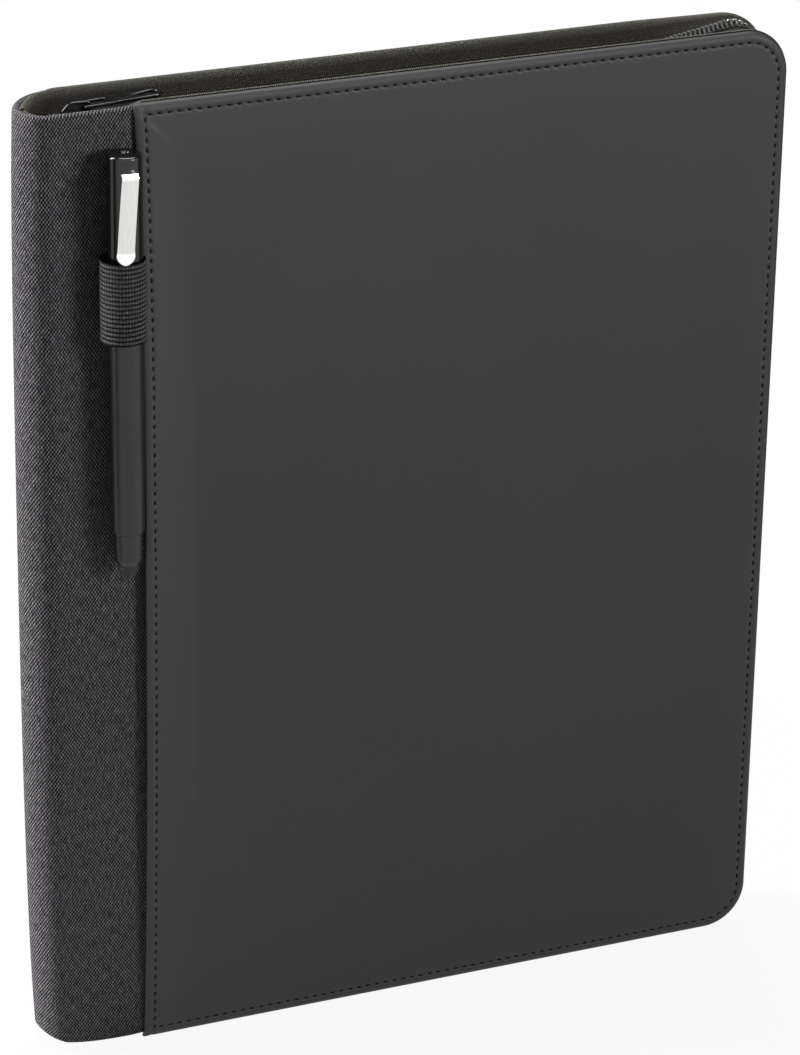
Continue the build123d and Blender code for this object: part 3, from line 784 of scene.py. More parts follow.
# %% [markdown]
# ## Lining and boards
# Twill on the inside of each cover, round its fold and to the middle of the spine. Like the canvas it is
# made in two halves that bend. Under it, greyboard stiffens each cover, inside the panel's turned edge. The
# outlines of both follow the cover's round corners, so each upright row of the grid is as long as the
# outline allows there; behind the canvas both end above its rising hem.

# %% Lining and boards
LINING_INSET = 0.8
LINING_DEPTH = rim_depth + 0.3 - canvas_depth
BEHIND_CANVAS = 10.0
BOARD_CLEAR, BOARD_THICK = 1.6, 1.2


def cover_columns(end, inset, last):
    """Places along X from the fore-edge to last, close together in the round corner."""
    radius = CORNER_RADIUS - inset
    corner = end - radius * (1 - np.cos(np.linspace(0, np.pi / 2, 16)))
    return np.concatenate([corner, np.linspace(end - radius - 4, last, 40)])


def cover_foot(x, end, inset):
    """The outline's height over the floor: level, then a quarter circle at the fore-edge."""
    radius = CORNER_RADIUS - inset
    past = np.clip(x - (end - radius), 0, radius)
    return inset + radius - np.sqrt(radius**2 - past**2)


def behind_canvas(x):
    """1 behind the canvas, easing to 0 past its seam."""
    return eased((seam_x + BEHIND_CANVAS - x) / BEHIND_CANVAS)


def lining_half(side):
    """The plan of the back at the lining's depth, from the outline's foot to its mirror image."""
    end = fore_x - LINING_INSET
    straight = cover_columns(end, LINING_INSET, BACK_START[side] + RUN_GAP)
    swing = np.linspace(FIRST_SWING, np.pi / 2, 24)
    z = np.linspace(0, 1, 70)
    x, t = spine_half(LINING_DEPTH, height * z, straight, swing, side)
    foot = cover_foot(x, end, LINING_INSET) + (canvas_foot + LINING_INSET) * behind_canvas(x)
    tall = lifted(foot + (height - 2 * foot) * z[:, None], straight, swing, side)
    girth = lengths_along(grid(x[35], t[35]))
    flat = (girth[-1] * MM, (height - 2 * LINING_INSET) * MM)
    return grid(x, cover_y(t, side), tall), grid(girth, tall), flat


def board_points(side):
    """A flat grid between foot and top line: round at the fore-edge, rising with the hem at the spine."""
    lo, hi = corners(side + "_cover_board")
    x = cover_columns(hi[0], lo[2], BACK_START[side] + 2)
    edge = cover_foot(x, hi[0], lo[2])
    foot = edge + run_lift(x, side) + BOARD_CLEAR * behind_canvas(x)
    z = foot + (height - edge - foot) * np.linspace(0, 1, 30)[:, None]
    return grid(x, (lo[1] + hi[1]) / 2, z)


for side in SIDES:
    bent_cloth(side, "lining", LINING, *lining_half(side))
for side in SIDES:
    board, stands_for = board_points(side), [side + "_cover_board"]
    piece(side + "_board", board, GREYBOARD, side + "_half", stands_for, thick=BOARD_THICK)

# %% [markdown]
# ## Zip
# The tape is sewn in behind the rim of each cover, rolls over its edge and hangs into the gap, down to the
# chain. It is a surface between two lines: the cover's edge and the chain. The chain follows the edge at a
# constant depth, except at the top corner, where the stiff coil rises and shows.

# %% Zip lines
ZIP_RECESS = 6.5
CREST_START, CREST_INSET, CREST_RISE, CREST_END = 45.5, 8.5, 6.5, 22.0
CREST_RADIUS, CREST_EASE, ZIP_CORNER = 7.0, 30.0, 8.0
LINE_STEP = 0.25
zip_start = corners("front_zip_tape")[0][0]
zip_top = height - ZIP_RECESS
zip_side = fore_x - ZIP_RECESS
corner_x = fore_x - CORNER_RADIUS

chain = rounded_path(
    [
        (zip_start, zip_top),
        (fore_x - CREST_START, zip_top),
        (fore_x - CREST_INSET, zip_top + CREST_RISE),
        (zip_side, zip_top - CREST_END),
        (zip_side, ZIP_RECESS),
        (zip_start, ZIP_RECESS),
    ],
    [CREST_EASE, CREST_RADIUS, CREST_EASE, ZIP_CORNER],
)
edge = [(zip_start, height), (fore_x, height), (fore_x, 0.0), (zip_start, 0.0)]
edge = rounded_path(edge, [CORNER_RADIUS, CORNER_RADIUS])
chain_length = lengths_along(chain)[-1]
print("chain", round(chain_length), "mm long")


def stations(line, points):
    """How far along a line each of some points lies nearest to it."""
    dense = at_lengths(line, np.arange(0, lengths_along(line)[-1], LINE_STEP))
    gaps = np.linalg.norm(dense[None] - np.array(points, float)[:, None], axis=2)
    return lengths_along(dense)[gaps.argmin(1)]


facing = [
    ((zip_start, zip_top), (zip_start, height)),
    ((fore_x - CREST_START, zip_top), (fore_x - CREST_START, height)),
    ((corner_x, zip_top + 5), (corner_x, height)),
    ((zip_side, zip_top - CREST_END), (fore_x, zip_top - CREST_END)),
    ((zip_side, CORNER_RADIUS), (fore_x, CORNER_RADIUS)),
    ((corner_x, ZIP_RECESS), (corner_x, 0)),
    ((zip_start, ZIP_RECESS), (zip_start, 0)),
]
chain_stations = stations(chain, [pair[0] for pair in facing])
edge_stations = stations(edge, [pair[1] for pair in facing])

# %% [markdown]
# Across the tape, the first stretch is the roll over the cover's edge, a part of a circle, and the rest
# falls to the chain, steep at first and flattening out. The front tape's roll is slim and sits low behind
# the panel's edge. Half-way down, a row of basting holds the tape to the lining.

# %% Zip tapes
TAPE_ROLL = {"front": 0.7, "rear": 0.95}
TAPE_SEAT = {"front": rim_depth - 0.1, "rear": rim_depth - 0.3}
TAPE_DROP = {"front": 0.5, "rear": 0.05}
HEM_SINK, HEM_INSET, FOOT_SINK = 1.9, 1.3, 1.5
REAR_TUCK, TUCK_EASE = 0.45, 6.0
TAPE_MIDDLE_GAP = 0.75
BASTING_ROW, BASTING_PITCH, BASTING_RISE = 13, 2.6, 0.03


def tape_section(side):
    """Depth below the cover's face and share of the way down to the chain, from the roll to the chain."""
    swing = np.linspace(np.pi * 1.05, np.pi * 0.12, 8)
    roll_depth = TAPE_SEAT[side] + TAPE_ROLL[side] * np.cos(swing)
    roll_drop = TAPE_DROP[side] - TAPE_ROLL[side] * np.sin(swing)
    fall = np.linspace(0, 1, 15)[1:]
    start, end = roll_depth[-1], half_book - TAPE_MIDDLE_GAP
    fall_depth = start + (end - start) * fall
    fall_drop = roll_drop[-1] + (ZIP_RECESS - roll_drop[-1]) * np.sin(np.pi / 2 * fall) ** 0.9
    return np.concatenate([roll_depth, fall_depth]), np.concatenate([roll_drop, fall_drop]) / ZIP_RECESS


def tape_points(side):
    """Between edge and chain by the section's share; beside the canvas the roll lies behind the hem."""
    walked = np.linspace(0, chain_length, 620)
    low = at_lengths(chain, walked)
    high = at_lengths(edge, np.interp(walked, chain_stations, edge_stations))
    depth, drop = tape_section(side)
    upward = np.sign(high[:, 1:] - height / 2)
    hem = 1 - eased((high[:, :1] - seam_x + 2) / TUCK_EASE)
    rear_top = REAR_TUCK * (1 - eased((high[:, :1] - zip_start) / TUCK_EASE))
    hem = np.where((upward > 0) & (side == "rear"), rear_top, hem)
    behind = hem * (1 - drop).clip(0, 1)
    place = high[:, None] + (low - high)[:, None] * drop[:, None]
    near_level = np.abs(high[:, 1:] - height / 2) > height / 2 - 1
    place[..., 1] -= upward * near_level * HEM_SINK * behind
    place[..., 1] += (upward < 0) * near_level * (run_lift(place[..., 0], side) + FOOT_SINK * behind)
    across = lengths_along(grid(depth, drop * ZIP_RECESS))
    basting = place[:, BASTING_ROW] - BASTING_RISE * (low - high), depth[BASTING_ROW]
    points = grid(place[..., 0], cover_y(depth + HEM_INSET * behind, side), place[..., 1])
    return points, grid(walked[:, None], across), across[-1], basting


for side in SIDES:
    half = side + "_half"
    points, uv, wide, basting = tape_points(side)
    made = piece(side + "_tape", points, TAPE, half, [side + "_zip_tape"], uv, CLOTH_THICK)
    count = int(lengths_along(basting[0])[-1] / BASTING_PITCH)
    piece(side + "_tape_basting", beads(*basting, side, count, BASTING_PITCH), BASTING, half)

# %% [markdown]
# The coil is one nylon filament per side, wound in flat loops: along the chain it is a squashed helix. The
# other side's helix is shifted by half a pitch, so the loops mesh. The tube's section is carried along the
# helix on two axes at right angles to it.

# %% Zip coils
COIL_PITCH = 1.6
FILAMENT = 0.4
COIL_TALL = 2.1
COIL_END = 2.0
SAMPLES_PER_LOOP = 12
coil_lo, coil_hi = corners("rear_zip_coil")
coil_wide = coil_hi[1] - coil_lo[1]


def coil_points(side):
    """A helix squashed to the coil's width and height, along the chain, with a round section of six sides."""
    walked = np.arange(coil_lo[0] - zip_start, chain_length - COIL_END, COIL_PITCH / SAMPLES_PER_LOOP)
    phase = 2 * np.pi * walked / COIL_PITCH + (np.pi if side == "front" else 0)
    base = at_lengths(chain, walked)
    along = unit(np.gradient(base, axis=0))
    outward = grid(-along[:, 1], along[:, 0])
    rise = COIL_TALL / 2 + (COIL_TALL / 2 - FILAMENT) * np.sin(phase)
    reach = coil_wide / 2 + (coil_wide / 2 - FILAMENT) * np.cos(phase)
    sign = 1 if side == "rear" else -1
    place = base + outward * rise[:, None]
    centre = grid(place[:, 0], book_y + sign * (coil_lo[1] - book_y + reach), place[:, 1])
    ahead = unit(np.gradient(centre, axis=0))
    first = unit(np.cross(ahead, grid(along[:, 0], 0, along[:, 1])))
    second = np.cross(ahead, first)
    turn = np.linspace(0, 2 * np.pi, 7)[:, None]
    return centre[:, None] + FILAMENT * (first[:, None] * np.cos(turn) + second[:, None] * np.sin(turn))


def refinish(node, made_of):
    """Gives a solid that stays as it is its finish."""
    nodes[node].data.materials.clear()
    nodes[node].data.materials.append(made_of)
    print(node, "in", made_of.name)


for side in SIDES:
    piece(side + "_coil", coil_points(side), NYLON, side + "_half", [side + "_zip_coil"])
    refinish(side + "_zip_stops", LACQUER)

# %% [markdown]
# Round the spine the tape ends are sewn into the lining, which closes the gap between the two covers' hems.
# The same section as the tape's is carried round the back, and its lower edge is kept out of the narrow
# middle.

# %% Spine gussets
GUSSET_REACH = 6.6
GUSSET_HANG = 4.0
GUSSET_THICK = 0.4
GUSSET_LAP = 5.0
PLAN_STEP = 4.0


def gusset_half(side, top):
    """The tape's section, hung a little deeper, carried round half of the back."""
    depth, drop = tape_section(side)
    depth = np.concatenate([depth, np.full(3, depth[-1])])
    drop = np.concatenate([drop, drop[-1] + GUSSET_HANG / ZIP_RECESS * np.array([0.4, 0.7, 1.0])])
    swing = np.linspace(FIRST_SWING, np.pi / 2, 20)
    straight = np.linspace(zip_start + GUSSET_LAP, BACK_START[side] + RUN_GAP, 5)
    round_back = np.concatenate([0 * straight, eased(swing / (np.pi / 2))])
    rear_hem = np.concatenate([np.linspace(0.05, 0.2, 5), 0.2 + 0.8 * np.sin(swing) ** 2])
    sunk = (1 - drop).clip(0, 1)[:, None] * (rear_hem if top and side == "rear" else 1)
    middle = half_book - TAPE_MIDDLE_GAP
    deep = np.minimum(depth[:, None] + HEM_INSET * sunk, middle + (GUSSET_REACH - middle) * round_back)
    fall = drop[:, None] * ZIP_RECESS + HEM_SINK * sunk
    z = height - fall if top else fall + FOOT_SINK * sunk + foot_lift(straight, swing, side)
    level = np.full(1, height if top else 0.0)
    outer_x, outer_t = spine_half(0.0, level, straight, swing, side)
    inner_x, inner_t = spine_half(PLAN_STEP, level, straight, swing, side)
    share = (deep - canvas_depth) / PLAN_STEP
    x, t = outer_x + (inner_x - outer_x) * share, outer_t + (inner_t - outer_t) * share
    points = grid(x, cover_y(t, side), z)
    across = lengths_along(points[:, 3])
    uv = grid(lengths_along(points[0]), across[:, None])
    return points, uv, (lengths_along(points[9])[-1] * MM, across[-1] * MM)


for side in SIDES:
    for name, top in (("head", True), ("foot", False)):
        points, uv, flat = gusset_half(side, top)
        name = side + "_" + name + "_gusset"
        made = piece(name, points, TAPE, None, uv=uv, thick=GUSSET_THICK)
        bend(made)

# %% [markdown]
# The stiffener in the spine is a thin card strip. It follows the drawn-in back and is cut to lie just
# inside the canvas.

# %% Spine stiffener
STIFFENER_DEPTH, STIFFENER_THICK = 1.3, 0.9
STIFFENER_FOOT, STIFFENER_TOP, STIFFENER_SIDE = 9.0, 5.0, 0.4
STIFFENER_BOW = 0.02


def stiffener_points():
    """A strip on the middle of the back: the canvas's back line, moved inwards."""
    lo, hi = corners("spine_board")
    z = np.linspace(lo[2] + STIFFENER_FOOT, hi[2] - STIFFENER_TOP, 60)
    y = np.linspace(lo[1] + STIFFENER_SIDE, hi[1] - STIFFENER_SIDE, 5)
    x, _ = spine_half(STIFFENER_DEPTH, z, np.array([fold_x]), np.array([np.pi / 2]), "front")
    return grid(x[:, 1:] + STIFFENER_BOW * (y - book_y) ** 2, y, z[:, None])


strip = stiffener_points()
piece("spine_stiffener", strip, GREYBOARD, "spine", ["spine_board"], thick=STIFFENER_THICK)

# %% [markdown]
# ## Slider, bridge and pull
# The slider is cast zinc: two plates with rounded edges, a post between them and flanges that hold the
# coils. A plate is a superellipse outline drawn in towards its middle while the height goes over a rounded
# edge. One function makes all five blocks, so they are one array.

# %% Slider
CAST_EDGE = 0.35
CLOSED = 9.0
PLATE, SEATED = 1.0, 0.4
POST_START, POST_END, POST_HALF = 0.5, 2.7, 0.35
FLANGE_INSET, FLANGE_TALL = 1.5, 3.1
PLATE_POWER, POST_POWER, FLANGE_POWER = 5, 6, 8
slider_lo, slider_hi = corners("slider_body")
left, near, low = slider_lo
far_x, far_y, high = slider_hi


def cast_block(lo, hi, power):
    """A superellipse block; rows run from the middle of its foot round the edge to the middle of its top."""
    lo, hi = np.array(lo), np.array(hi)
    outline = grid(*squared(np.linspace(0, 2 * np.pi, 41), power))
    swing = np.linspace(0, np.pi / 2, 5)
    rising, closing = CAST_EDGE * (1 - np.sin(swing)), CAST_EDGE * (1 - np.cos(swing))
    inset = np.concatenate([[CLOSED], rising, closing, [CLOSED]])[:, None]
    z = np.concatenate([lo[2:], lo[2] + closing, hi[2] - rising, hi[2:]])[:, None]
    half, middle = (hi - lo)[:2] / 2, (hi + lo)[:2] / 2
    place = middle + np.where(inset == CLOSED, 0, half - inset)[:, None] * outline
    return grid(place[..., 0], place[..., 1], z)


post_lo = (left + POST_START, book_y - POST_HALF, low + SEATED)
post_hi = (left + POST_END, book_y + POST_HALF, high - SEATED)
flange_x, flange_end = left + FLANGE_INSET, far_x - FLANGE_INSET
flange_lo, flange_hi = high - FLANGE_TALL, high - SEATED
blocks = [
    cast_block((left, near, high - PLATE), (far_x, far_y, high), PLATE_POWER),
    cast_block((left, near, low), (far_x, far_y, low + PLATE), PLATE_POWER),
    cast_block(post_lo, post_hi, POST_POWER),
    cast_block((flange_x, near, flange_lo), (flange_end, near + PLATE, flange_hi), FLANGE_POWER),
    cast_block((flange_x, far_y - PLATE, flange_lo), (flange_end, far_y, flange_hi), FLANGE_POWER),
]
piece("slider_casting", np.stack(blocks), LACQUER, "zip_slider", ["slider_body"])

# %% [markdown]
# The bridge is a bent strap over the slider. Its line is a smooth arch, highest near the closed end, and a
# rounded section is carried along it on the line's own normal.

# %% Bridge
BRIDGE_HALF_WIDE, BRIDGE_HALF_THICK = 1.15, 0.42
BRIDGE_RISE, BRIDGE_SLOPE, BRIDGE_SEAT = 2.05, 0.1, 0.3
BRIDGE_START, BRIDGE_SHOULDER, BRIDGE_INSET = 0.4, 2.8, 0.5
BRIDGE_ROUNDS = (2.4, 0.8)
STRAP_POWER = 4


def swept_strap(line):
    """A rounded section, wide along Y and thin in the line's plane, carried along a line in X and Z."""
    along = unit(np.gradient(line, axis=0))
    normal = grid(-along[:, 1], along[:, 0])
    wide, thick = squared(np.linspace(0, 2 * np.pi, 17), STRAP_POWER)
    place = line[:, None] + normal[:, None] * (BRIDGE_HALF_THICK * thick)[:, None]
    return grid(place[..., 0], book_y + BRIDGE_HALF_WIDE * wide, place[..., 1])


seat, crest = high - BRIDGE_SEAT, high + BRIDGE_RISE
bridge_end = corners("slider_bridge")[1][0] - BRIDGE_INSET
shoulder = (left + BRIDGE_SHOULDER, crest + BRIDGE_SLOPE)
arch = [(left + BRIDGE_START, seat), shoulder, (bridge_end, crest), (bridge_end, seat)]
strap = swept_strap(evenly(rounded_path(arch, BRIDGE_ROUNDS), 40))
piece("slider_strap", strap, LACQUER, "zip_slider", ["slider_bridge"])

# %% [markdown]
# The pull is a stamped tab with a window for the bridge and a drop-shaped finger hole. Each opening is
# ringed by a plate: for every direction from the opening's middle, the plate reaches from the opening's
# edge to the tab's edge, and its section is a rounded rectangle. Two such rings overlap in the web between
# the openings.

# %% Pull
PULL_LONG, PULL_HALF, PULL_THICK, PULL_EDGE = 25.0, 3.3, 1.1, 0.3
PULL_TILT = math.radians(3)
PULL_BAR, PIVOT_RISE = 0.65, 0.95
TAB_ROUND, TAB_END_ROUND = 0.5, 2.9
WINDOW_END, WINDOW_SIDE, WINDOW_MIDDLE = 7.15, 1.5, 3.9
DROP_START, DROP_END, DROP_R, DROP_TIP_R, DROP_MIDDLE = 15.7, 21.7, 2.0, 0.5, 19.6
WEB_START, WEB_END, WEB_STEP = 8.6, 9.4, 0.08
OUTLINE_POINTS = 400
pivot_x = corners("pull_tab")[0][0] + PULL_BAR
pivot_z = high + PIVOT_RISE


def reach_from(middle, outline, turn):
    """How far a closed outline lies from a point inside it, in each direction."""
    arm = outline - np.array([middle, 0.0])
    angle = np.arctan2(arm[:, 1], arm[:, 0])
    order = np.argsort(angle)
    return np.interp(turn, angle[order], np.linalg.norm(arm, axis=1)[order], period=2 * np.pi)


def tab_outline(near, far, half, near_round, far_round):
    """A rectangle from near to far with its own rounding at each end."""
    middle = (near + far) / 2
    line = [(middle, -half), (far, -half), (far, half), (near, half), (near, -half), (middle, -half)]
    return evenly(rounded_path(line, [far_round, far_round, near_round, near_round]), OUTLINE_POINTS)


def drop_outline(point, end, radius, tip):
    """The hull of a small circle at point and a larger one at end."""
    lean = math.asin((radius - tip) / (end - point))
    small = np.linspace(np.pi / 2 + lean, 3 * np.pi / 2 - lean, 60)
    large = np.linspace(-np.pi / 2 - lean, np.pi / 2 + lean, 160)
    one = grid(point + tip * np.cos(small), tip * np.sin(small))
    two = grid(end + radius * np.cos(large), radius * np.sin(large))
    return evenly(np.concatenate([two, one, two[:1]]), OUTLINE_POINTS)


def ring_plate(middle, hole, rim, thick):
    """A plate between a hole and a rim, with rounded edges, closed round its section and round the hole."""
    turn = np.linspace(-np.pi, np.pi, 97)
    inner, outer = reach_from(middle, hole, turn), reach_from(middle, rim, turn)
    swing = np.linspace(0, np.pi / 2, 4)
    edge, rise = PULL_EDGE * (1 - np.sin(swing)), thick / 2 - PULL_EDGE * (1 - np.cos(swing))
    none = 0 * edge
    rise = np.concatenate([rise[::-1], rise, -rise[::-1], -rise, rise[-1:]])[:, None]
    from_hole = np.concatenate([edge[::-1], none, none, edge, edge[-1:]])[:, None]
    from_rim = np.concatenate([none, edge, edge[::-1], none, none[:1]])[:, None]
    by_hole = np.concatenate([np.ones(4), np.zeros(8), np.ones(5)])[:, None]
    radius = np.where(by_hole > 0, inner + from_hole, outer - from_rim)
    return grid(middle + radius * np.cos(turn), radius * np.sin(turn), rise)


window = tab_outline(PULL_BAR, WINDOW_END, PULL_HALF - WINDOW_SIDE, TAB_ROUND, TAB_ROUND)
window_rim = tab_outline(-PULL_BAR, WEB_END, PULL_HALF, TAB_ROUND, TAB_ROUND)
drop_hole = drop_outline(DROP_START, DROP_END, DROP_R, DROP_TIP_R)
drop_rim = tab_outline(WEB_START, PULL_LONG, PULL_HALF, TAB_ROUND, TAB_END_ROUND)
window_ring = ring_plate(WINDOW_MIDDLE, window, window_rim, PULL_THICK - WEB_STEP)
rings = np.stack([window_ring, ring_plate(DROP_MIDDLE, drop_hole, drop_rim, PULL_THICK)])
lean_x = rings[..., 0] * math.cos(PULL_TILT) - rings[..., 2] * math.sin(PULL_TILT)
lean_z = rings[..., 0] * math.sin(PULL_TILT) + rings[..., 2] * math.cos(PULL_TILT)
tab = grid(pivot_x + lean_x, book_y + rings[..., 1], pivot_z + lean_z)
piece("pull_stamping", tab, LACQUER, "zip_pull", ["pull_tab"])

# %% [markdown]
# ## Pen
# The pen's pieces are turned: each is a half profile, with small arcs where the mould has its edges,
# carried round the pen's axis. The edges matter more than the faces here, because on black plastic only
# they catch the light.

# %% Pen pieces
PEN_SHIFT = 0.9
FERRULE_RISE, JOINT_RISE = 1.2, 3.0
REFILL_R, NOSE_BORE = 1.5, 1.6
barrel_lo, barrel_hi = corners("pen_barrel")
cap_lo, cap_hi = corners("pen_cap")
tip_lo, tip_hi = corners("stylus_tip")
nose_foot, nose_top = (corner[2] for corner in corners("pen_nose"))
refill_foot, refill_top = (corner[2] for corner in corners("pen_refill"))
ferrule_foot, ferrule_top = (corner[2] for corner in corners("stylus_ferrule"))
pen_x, pen_y = (barrel_lo[:2] + barrel_hi[:2]) / 2 - np.array([PEN_SHIFT, 0.0])
round_pieces = (barrel_lo, barrel_hi), (cap_lo, cap_hi), (tip_lo, tip_hi)
barrel_r, cap_r, tip_r = ((hi[0] - lo[0]) / 2 for lo, hi in round_pieces)
bore_r, cap_bore, nose_r = 4.0, cap_r - 0.7, cap_r - 1.0
plug_r, socket_r = bore_r - 0.1, tip_r + 0.05
cap_rim, cap_top = cap_lo[2], cap_hi[2]
roof_z, dimple_z = cap_top - 4, cap_top - 0.4
tip_foot, tip_top = tip_lo[2], tip_hi[2]
barrel_top = barrel_hi[2]
joint_z = barrel_lo[2] + JOINT_RISE
mouth_z = ferrule_foot + FERRULE_RISE
socket_z = mouth_z + 5.0

# each piece's finish and slot, its profile's radii and heights, and the rounding of the inner corners
pen_profiles = {
    "pen_barrel": (
        (SATIN_ABS, "pen_satin"),
        [bore_r, barrel_r - 0.3, barrel_r, bore_r, bore_r],
        [joint_z, joint_z, barrel_top, barrel_top, joint_z],
        [0.8, 0.12, 0.12],
    ),
    "stylus_ferrule": (
        (SATIN_ABS, "pen_satin"),
        [0.0, socket_r, socket_r, tip_r + 0.3, 4.4, 4.55, plug_r, plug_r, 0.0],
        [socket_z, socket_z, mouth_z, mouth_z, mouth_z + 1.6, joint_z, joint_z, ferrule_top, ferrule_top],
        [0.1, 0.08, 0.1, 1.6, 0.15, 0.1, 0.2],
    ),
    "stylus_tip": (
        (RUBBER, "stylus_rubber"),
        [0.0, tip_r, tip_r, 0.0],
        [tip_foot, tip_foot, tip_top, tip_top],
        [tip_r - 0.05, 0.3],
    ),
    "pen_nose": (
        (SATIN_ABS, "pen_satin"),
        [NOSE_BORE, plug_r, plug_r, nose_r, nose_r, 2.2, NOSE_BORE, NOSE_BORE],
        [nose_foot, nose_foot, barrel_top, barrel_top, cap_rim + 22, nose_top, nose_top, nose_foot],
        [0.2, 0.1, 0.15, 3.0, 0.2, 0.1],
    ),
    "pen_refill": (
        (INK_TUBE, "ink_tube"),
        [0.0, REFILL_R, REFILL_R, 0.6, 0.0],
        [refill_foot, refill_foot, nose_top, refill_top, refill_top],
        [0.3, 0.3, 0.4],
    ),
    "pen_cap": (
        (GLOSS_ABS, "pen_gloss"),
        [0.0, cap_bore, cap_bore, cap_r, cap_r - 0.25, 1.8, 1.4, 0.0],
        [roof_z, roof_z, cap_rim, cap_rim, cap_top, cap_top, dimple_z, dimple_z],
        [0.5, 0.15, 0.15, 0.9, 0.25, 0.2],
    ),
}
for node, ((made_of, slot), radii, heights, rounding) in pen_profiles.items():
    body = "capped_end" if node == "pen_cap" else "pen"
    profile = rounded_path(grid(radii, heights), rounding)
    piece(node + "_turned", turned(profile, pen_x, pen_y), made_of, body, [node])

# %% [markdown]
# The clip is a strip of spring steel. Its centre line leaves the cap, bends down, leans in towards the cap
# and flares at its tongue. Its half width is constant and then follows a half circle at the tongue. It sits
# a little askew: turned towards the spine round the pen's axis, at its foot more than at its top.

# %% Clip
clip_lo, clip_hi = corners("pen_clip")
CLIP_NARROW, CLIP_GAP, CLIP_FLARE, CLIP_RISE = 0.5, 0.65, 0.65, 1.0
CLIP_HALF = (clip_hi[0] - clip_lo[0]) / 2 - CLIP_NARROW
CLIP_THICK, CLIP_EDGE = 0.6, 0.15
CLIP_STAND, CLIP_CLOSE = pen_y - clip_lo[1], cap_r + CLIP_GAP
CLIP_TURN_TOP, CLIP_TURN_FOOT = math.radians(6), math.radians(19)
TONGUE, TONGUE_SWELL, CROWN = 3.4, 0.18, 0.12


def clip_points():
    """A bent line in reach and height, given the strip's width; the tongue ends in a half circle."""
    top, foot = clip_hi[2] - CLIP_THICK / 2, clip_lo[2] + CLIP_RISE
    bends = [(CLIP_STAND, top), (CLIP_CLOSE, foot + TONGUE)]
    line = rounded_path([(cap_r - 0.5, top), *bends, (CLIP_CLOSE + CLIP_FLARE, foot)], [1.3, 0.6])
    total = lengths_along(line)[-1]
    end = total - CLIP_HALF
    half_round = CLIP_HALF * np.sin(np.linspace(0, np.pi / 2, 16)[1:])
    walked = np.concatenate([np.linspace(0, end, 60), end + half_round])
    line = at_lengths(line, walked)
    past = np.clip((walked - total + CLIP_HALF) / CLIP_HALF, 0, 1)
    half = np.maximum(CLIP_HALF * np.sqrt(1 - past**2), 0.02)
    swell = TONGUE_SWELL * np.exp(-(((walked - total + TONGUE - 0.6) / 1.2) ** 2))
    across = np.linspace(-1, 1, 9)
    sideways = (half + swell)[:, None] * across
    reach = line[:, :1] - CROWN * across**2 * eased((walked[:, None] - 2) / 3)
    turn = CLIP_TURN_TOP + (CLIP_TURN_FOOT - CLIP_TURN_TOP) * (top - line[:, 1:]) / (top - foot)
    x = pen_x + sideways * np.cos(turn) - reach * np.sin(turn)
    y = pen_y - sideways * np.sin(turn) - reach * np.cos(turn)
    return grid(x, y, line[:, 1:])


strip = clip_points()
clip = piece("clip_strip", strip, STEEL, "capped_end", ["pen_clip"], thick=CLIP_THICK)
edge_round = clip.modifiers.new("edge", "BEVEL")
edge_round.width = CLIP_EDGE * MM
edge_round.segments = 2
edge_round.limit_method = "ANGLE"

# %% [markdown]
# ## Pen loop
# Ribbed elastic, sewn into the seam. In plan it comes up beside the lip, hugs the pen on the right and
# front, is slack on the left, and returns behind the pen along the canvas. The ribs run along the band, so
# they are a function of height.

# %% Pen loop
LOOP_LIFT = 2.2
LOOP_THICK, LOOP_GAP = 0.6, 0.04
RIB_RISE = 0.2
ROOT_TUCK, ROOT_SINK, PULL_BACK = 0.8, 1.3, 4.0
TAIL_START, TAIL_END = 0.8, 4.5
loop_foot, loop_top = (corner[2] + LOOP_LIFT for corner in corners("pen_loop"))
loop_ribs = round((loop_top - loop_foot) / ELASTIC_RIB)


def loop_points():
    """A plan line of points with outward normals, moved out by the ribs: the root of a sine of height."""
    lip_x = seam_line((loop_foot + loop_top) / 2)
    ground = cover_y(canvas_depth, "front") - LOOP_THICK / 2
    snug, slack = cap_r + LOOP_GAP + LOOP_THICK / 2, ground - pen_y
    swing = np.linspace(0, 1.5 * np.pi, 90)
    radius = snug + (slack - snug) * eased((swing - 0.4 * np.pi) / (0.6 * np.pi))
    round_pen = grid(pen_x + radius * np.cos(swing), pen_y - radius * np.sin(swing))
    root = np.array([lip_x - ROOT_TUCK, ground + ROOT_SINK])
    pull = np.array([pen_x + snug, pen_y + PULL_BACK])
    t = np.linspace(0, 1, 16)[:-1, None]
    rise = root * (1 - t) ** 2 + pull * 2 * t * (1 - t) + round_pen[:1] * t**2
    tail = grid(np.linspace(pen_x + TAIL_START, pen_x + TAIL_END, 5), ground)
    plan = np.concatenate([rise, round_pen, tail])
    along = np.gradient(plan, axis=0)
    outward = unit(grid(along[:, 1], -along[:, 0]))
    z = np.linspace(loop_foot, loop_top, loop_ribs * 8 + 1)
    bulge = np.sqrt(np.abs(np.sin(np.pi * loop_ribs * (z - z[0]) / (z[-1] - z[0]))))
    place = plan - outward * (RIB_RISE * (bulge - 0.5))[:, None, None]
    walked = lengths_along(plan)
    return grid(place[..., 0], place[..., 1], z[:, None]), grid(walked, z[:, None]), walked[-1]


points, uv, long = loop_points()
loop = piece("elastic_loop", points, ELASTIC, "front_half", ["pen_loop"], uv, LOOP_THICK)

# %% [markdown]
# ## Pockets and pad
# Inside, three cloth pockets are sewn on the linings. Each is a sheet that leaves its seat at the stitched
# borders and stands off by its slack, with a turned hem along the open top. The stitches are the same beads
# of thread.

# %% Pockets
POCKET_HEM = 8.0
POCKET_EASE = 5.0
HEM_RISE, SWAY = 0.2, 0.15
SEAT_GAP, FACE_GAP = 0.35, 0.5
SEW_INSET, SEW_ROUND, SEW_DEPTH = 1.6, 2.0, 0.75


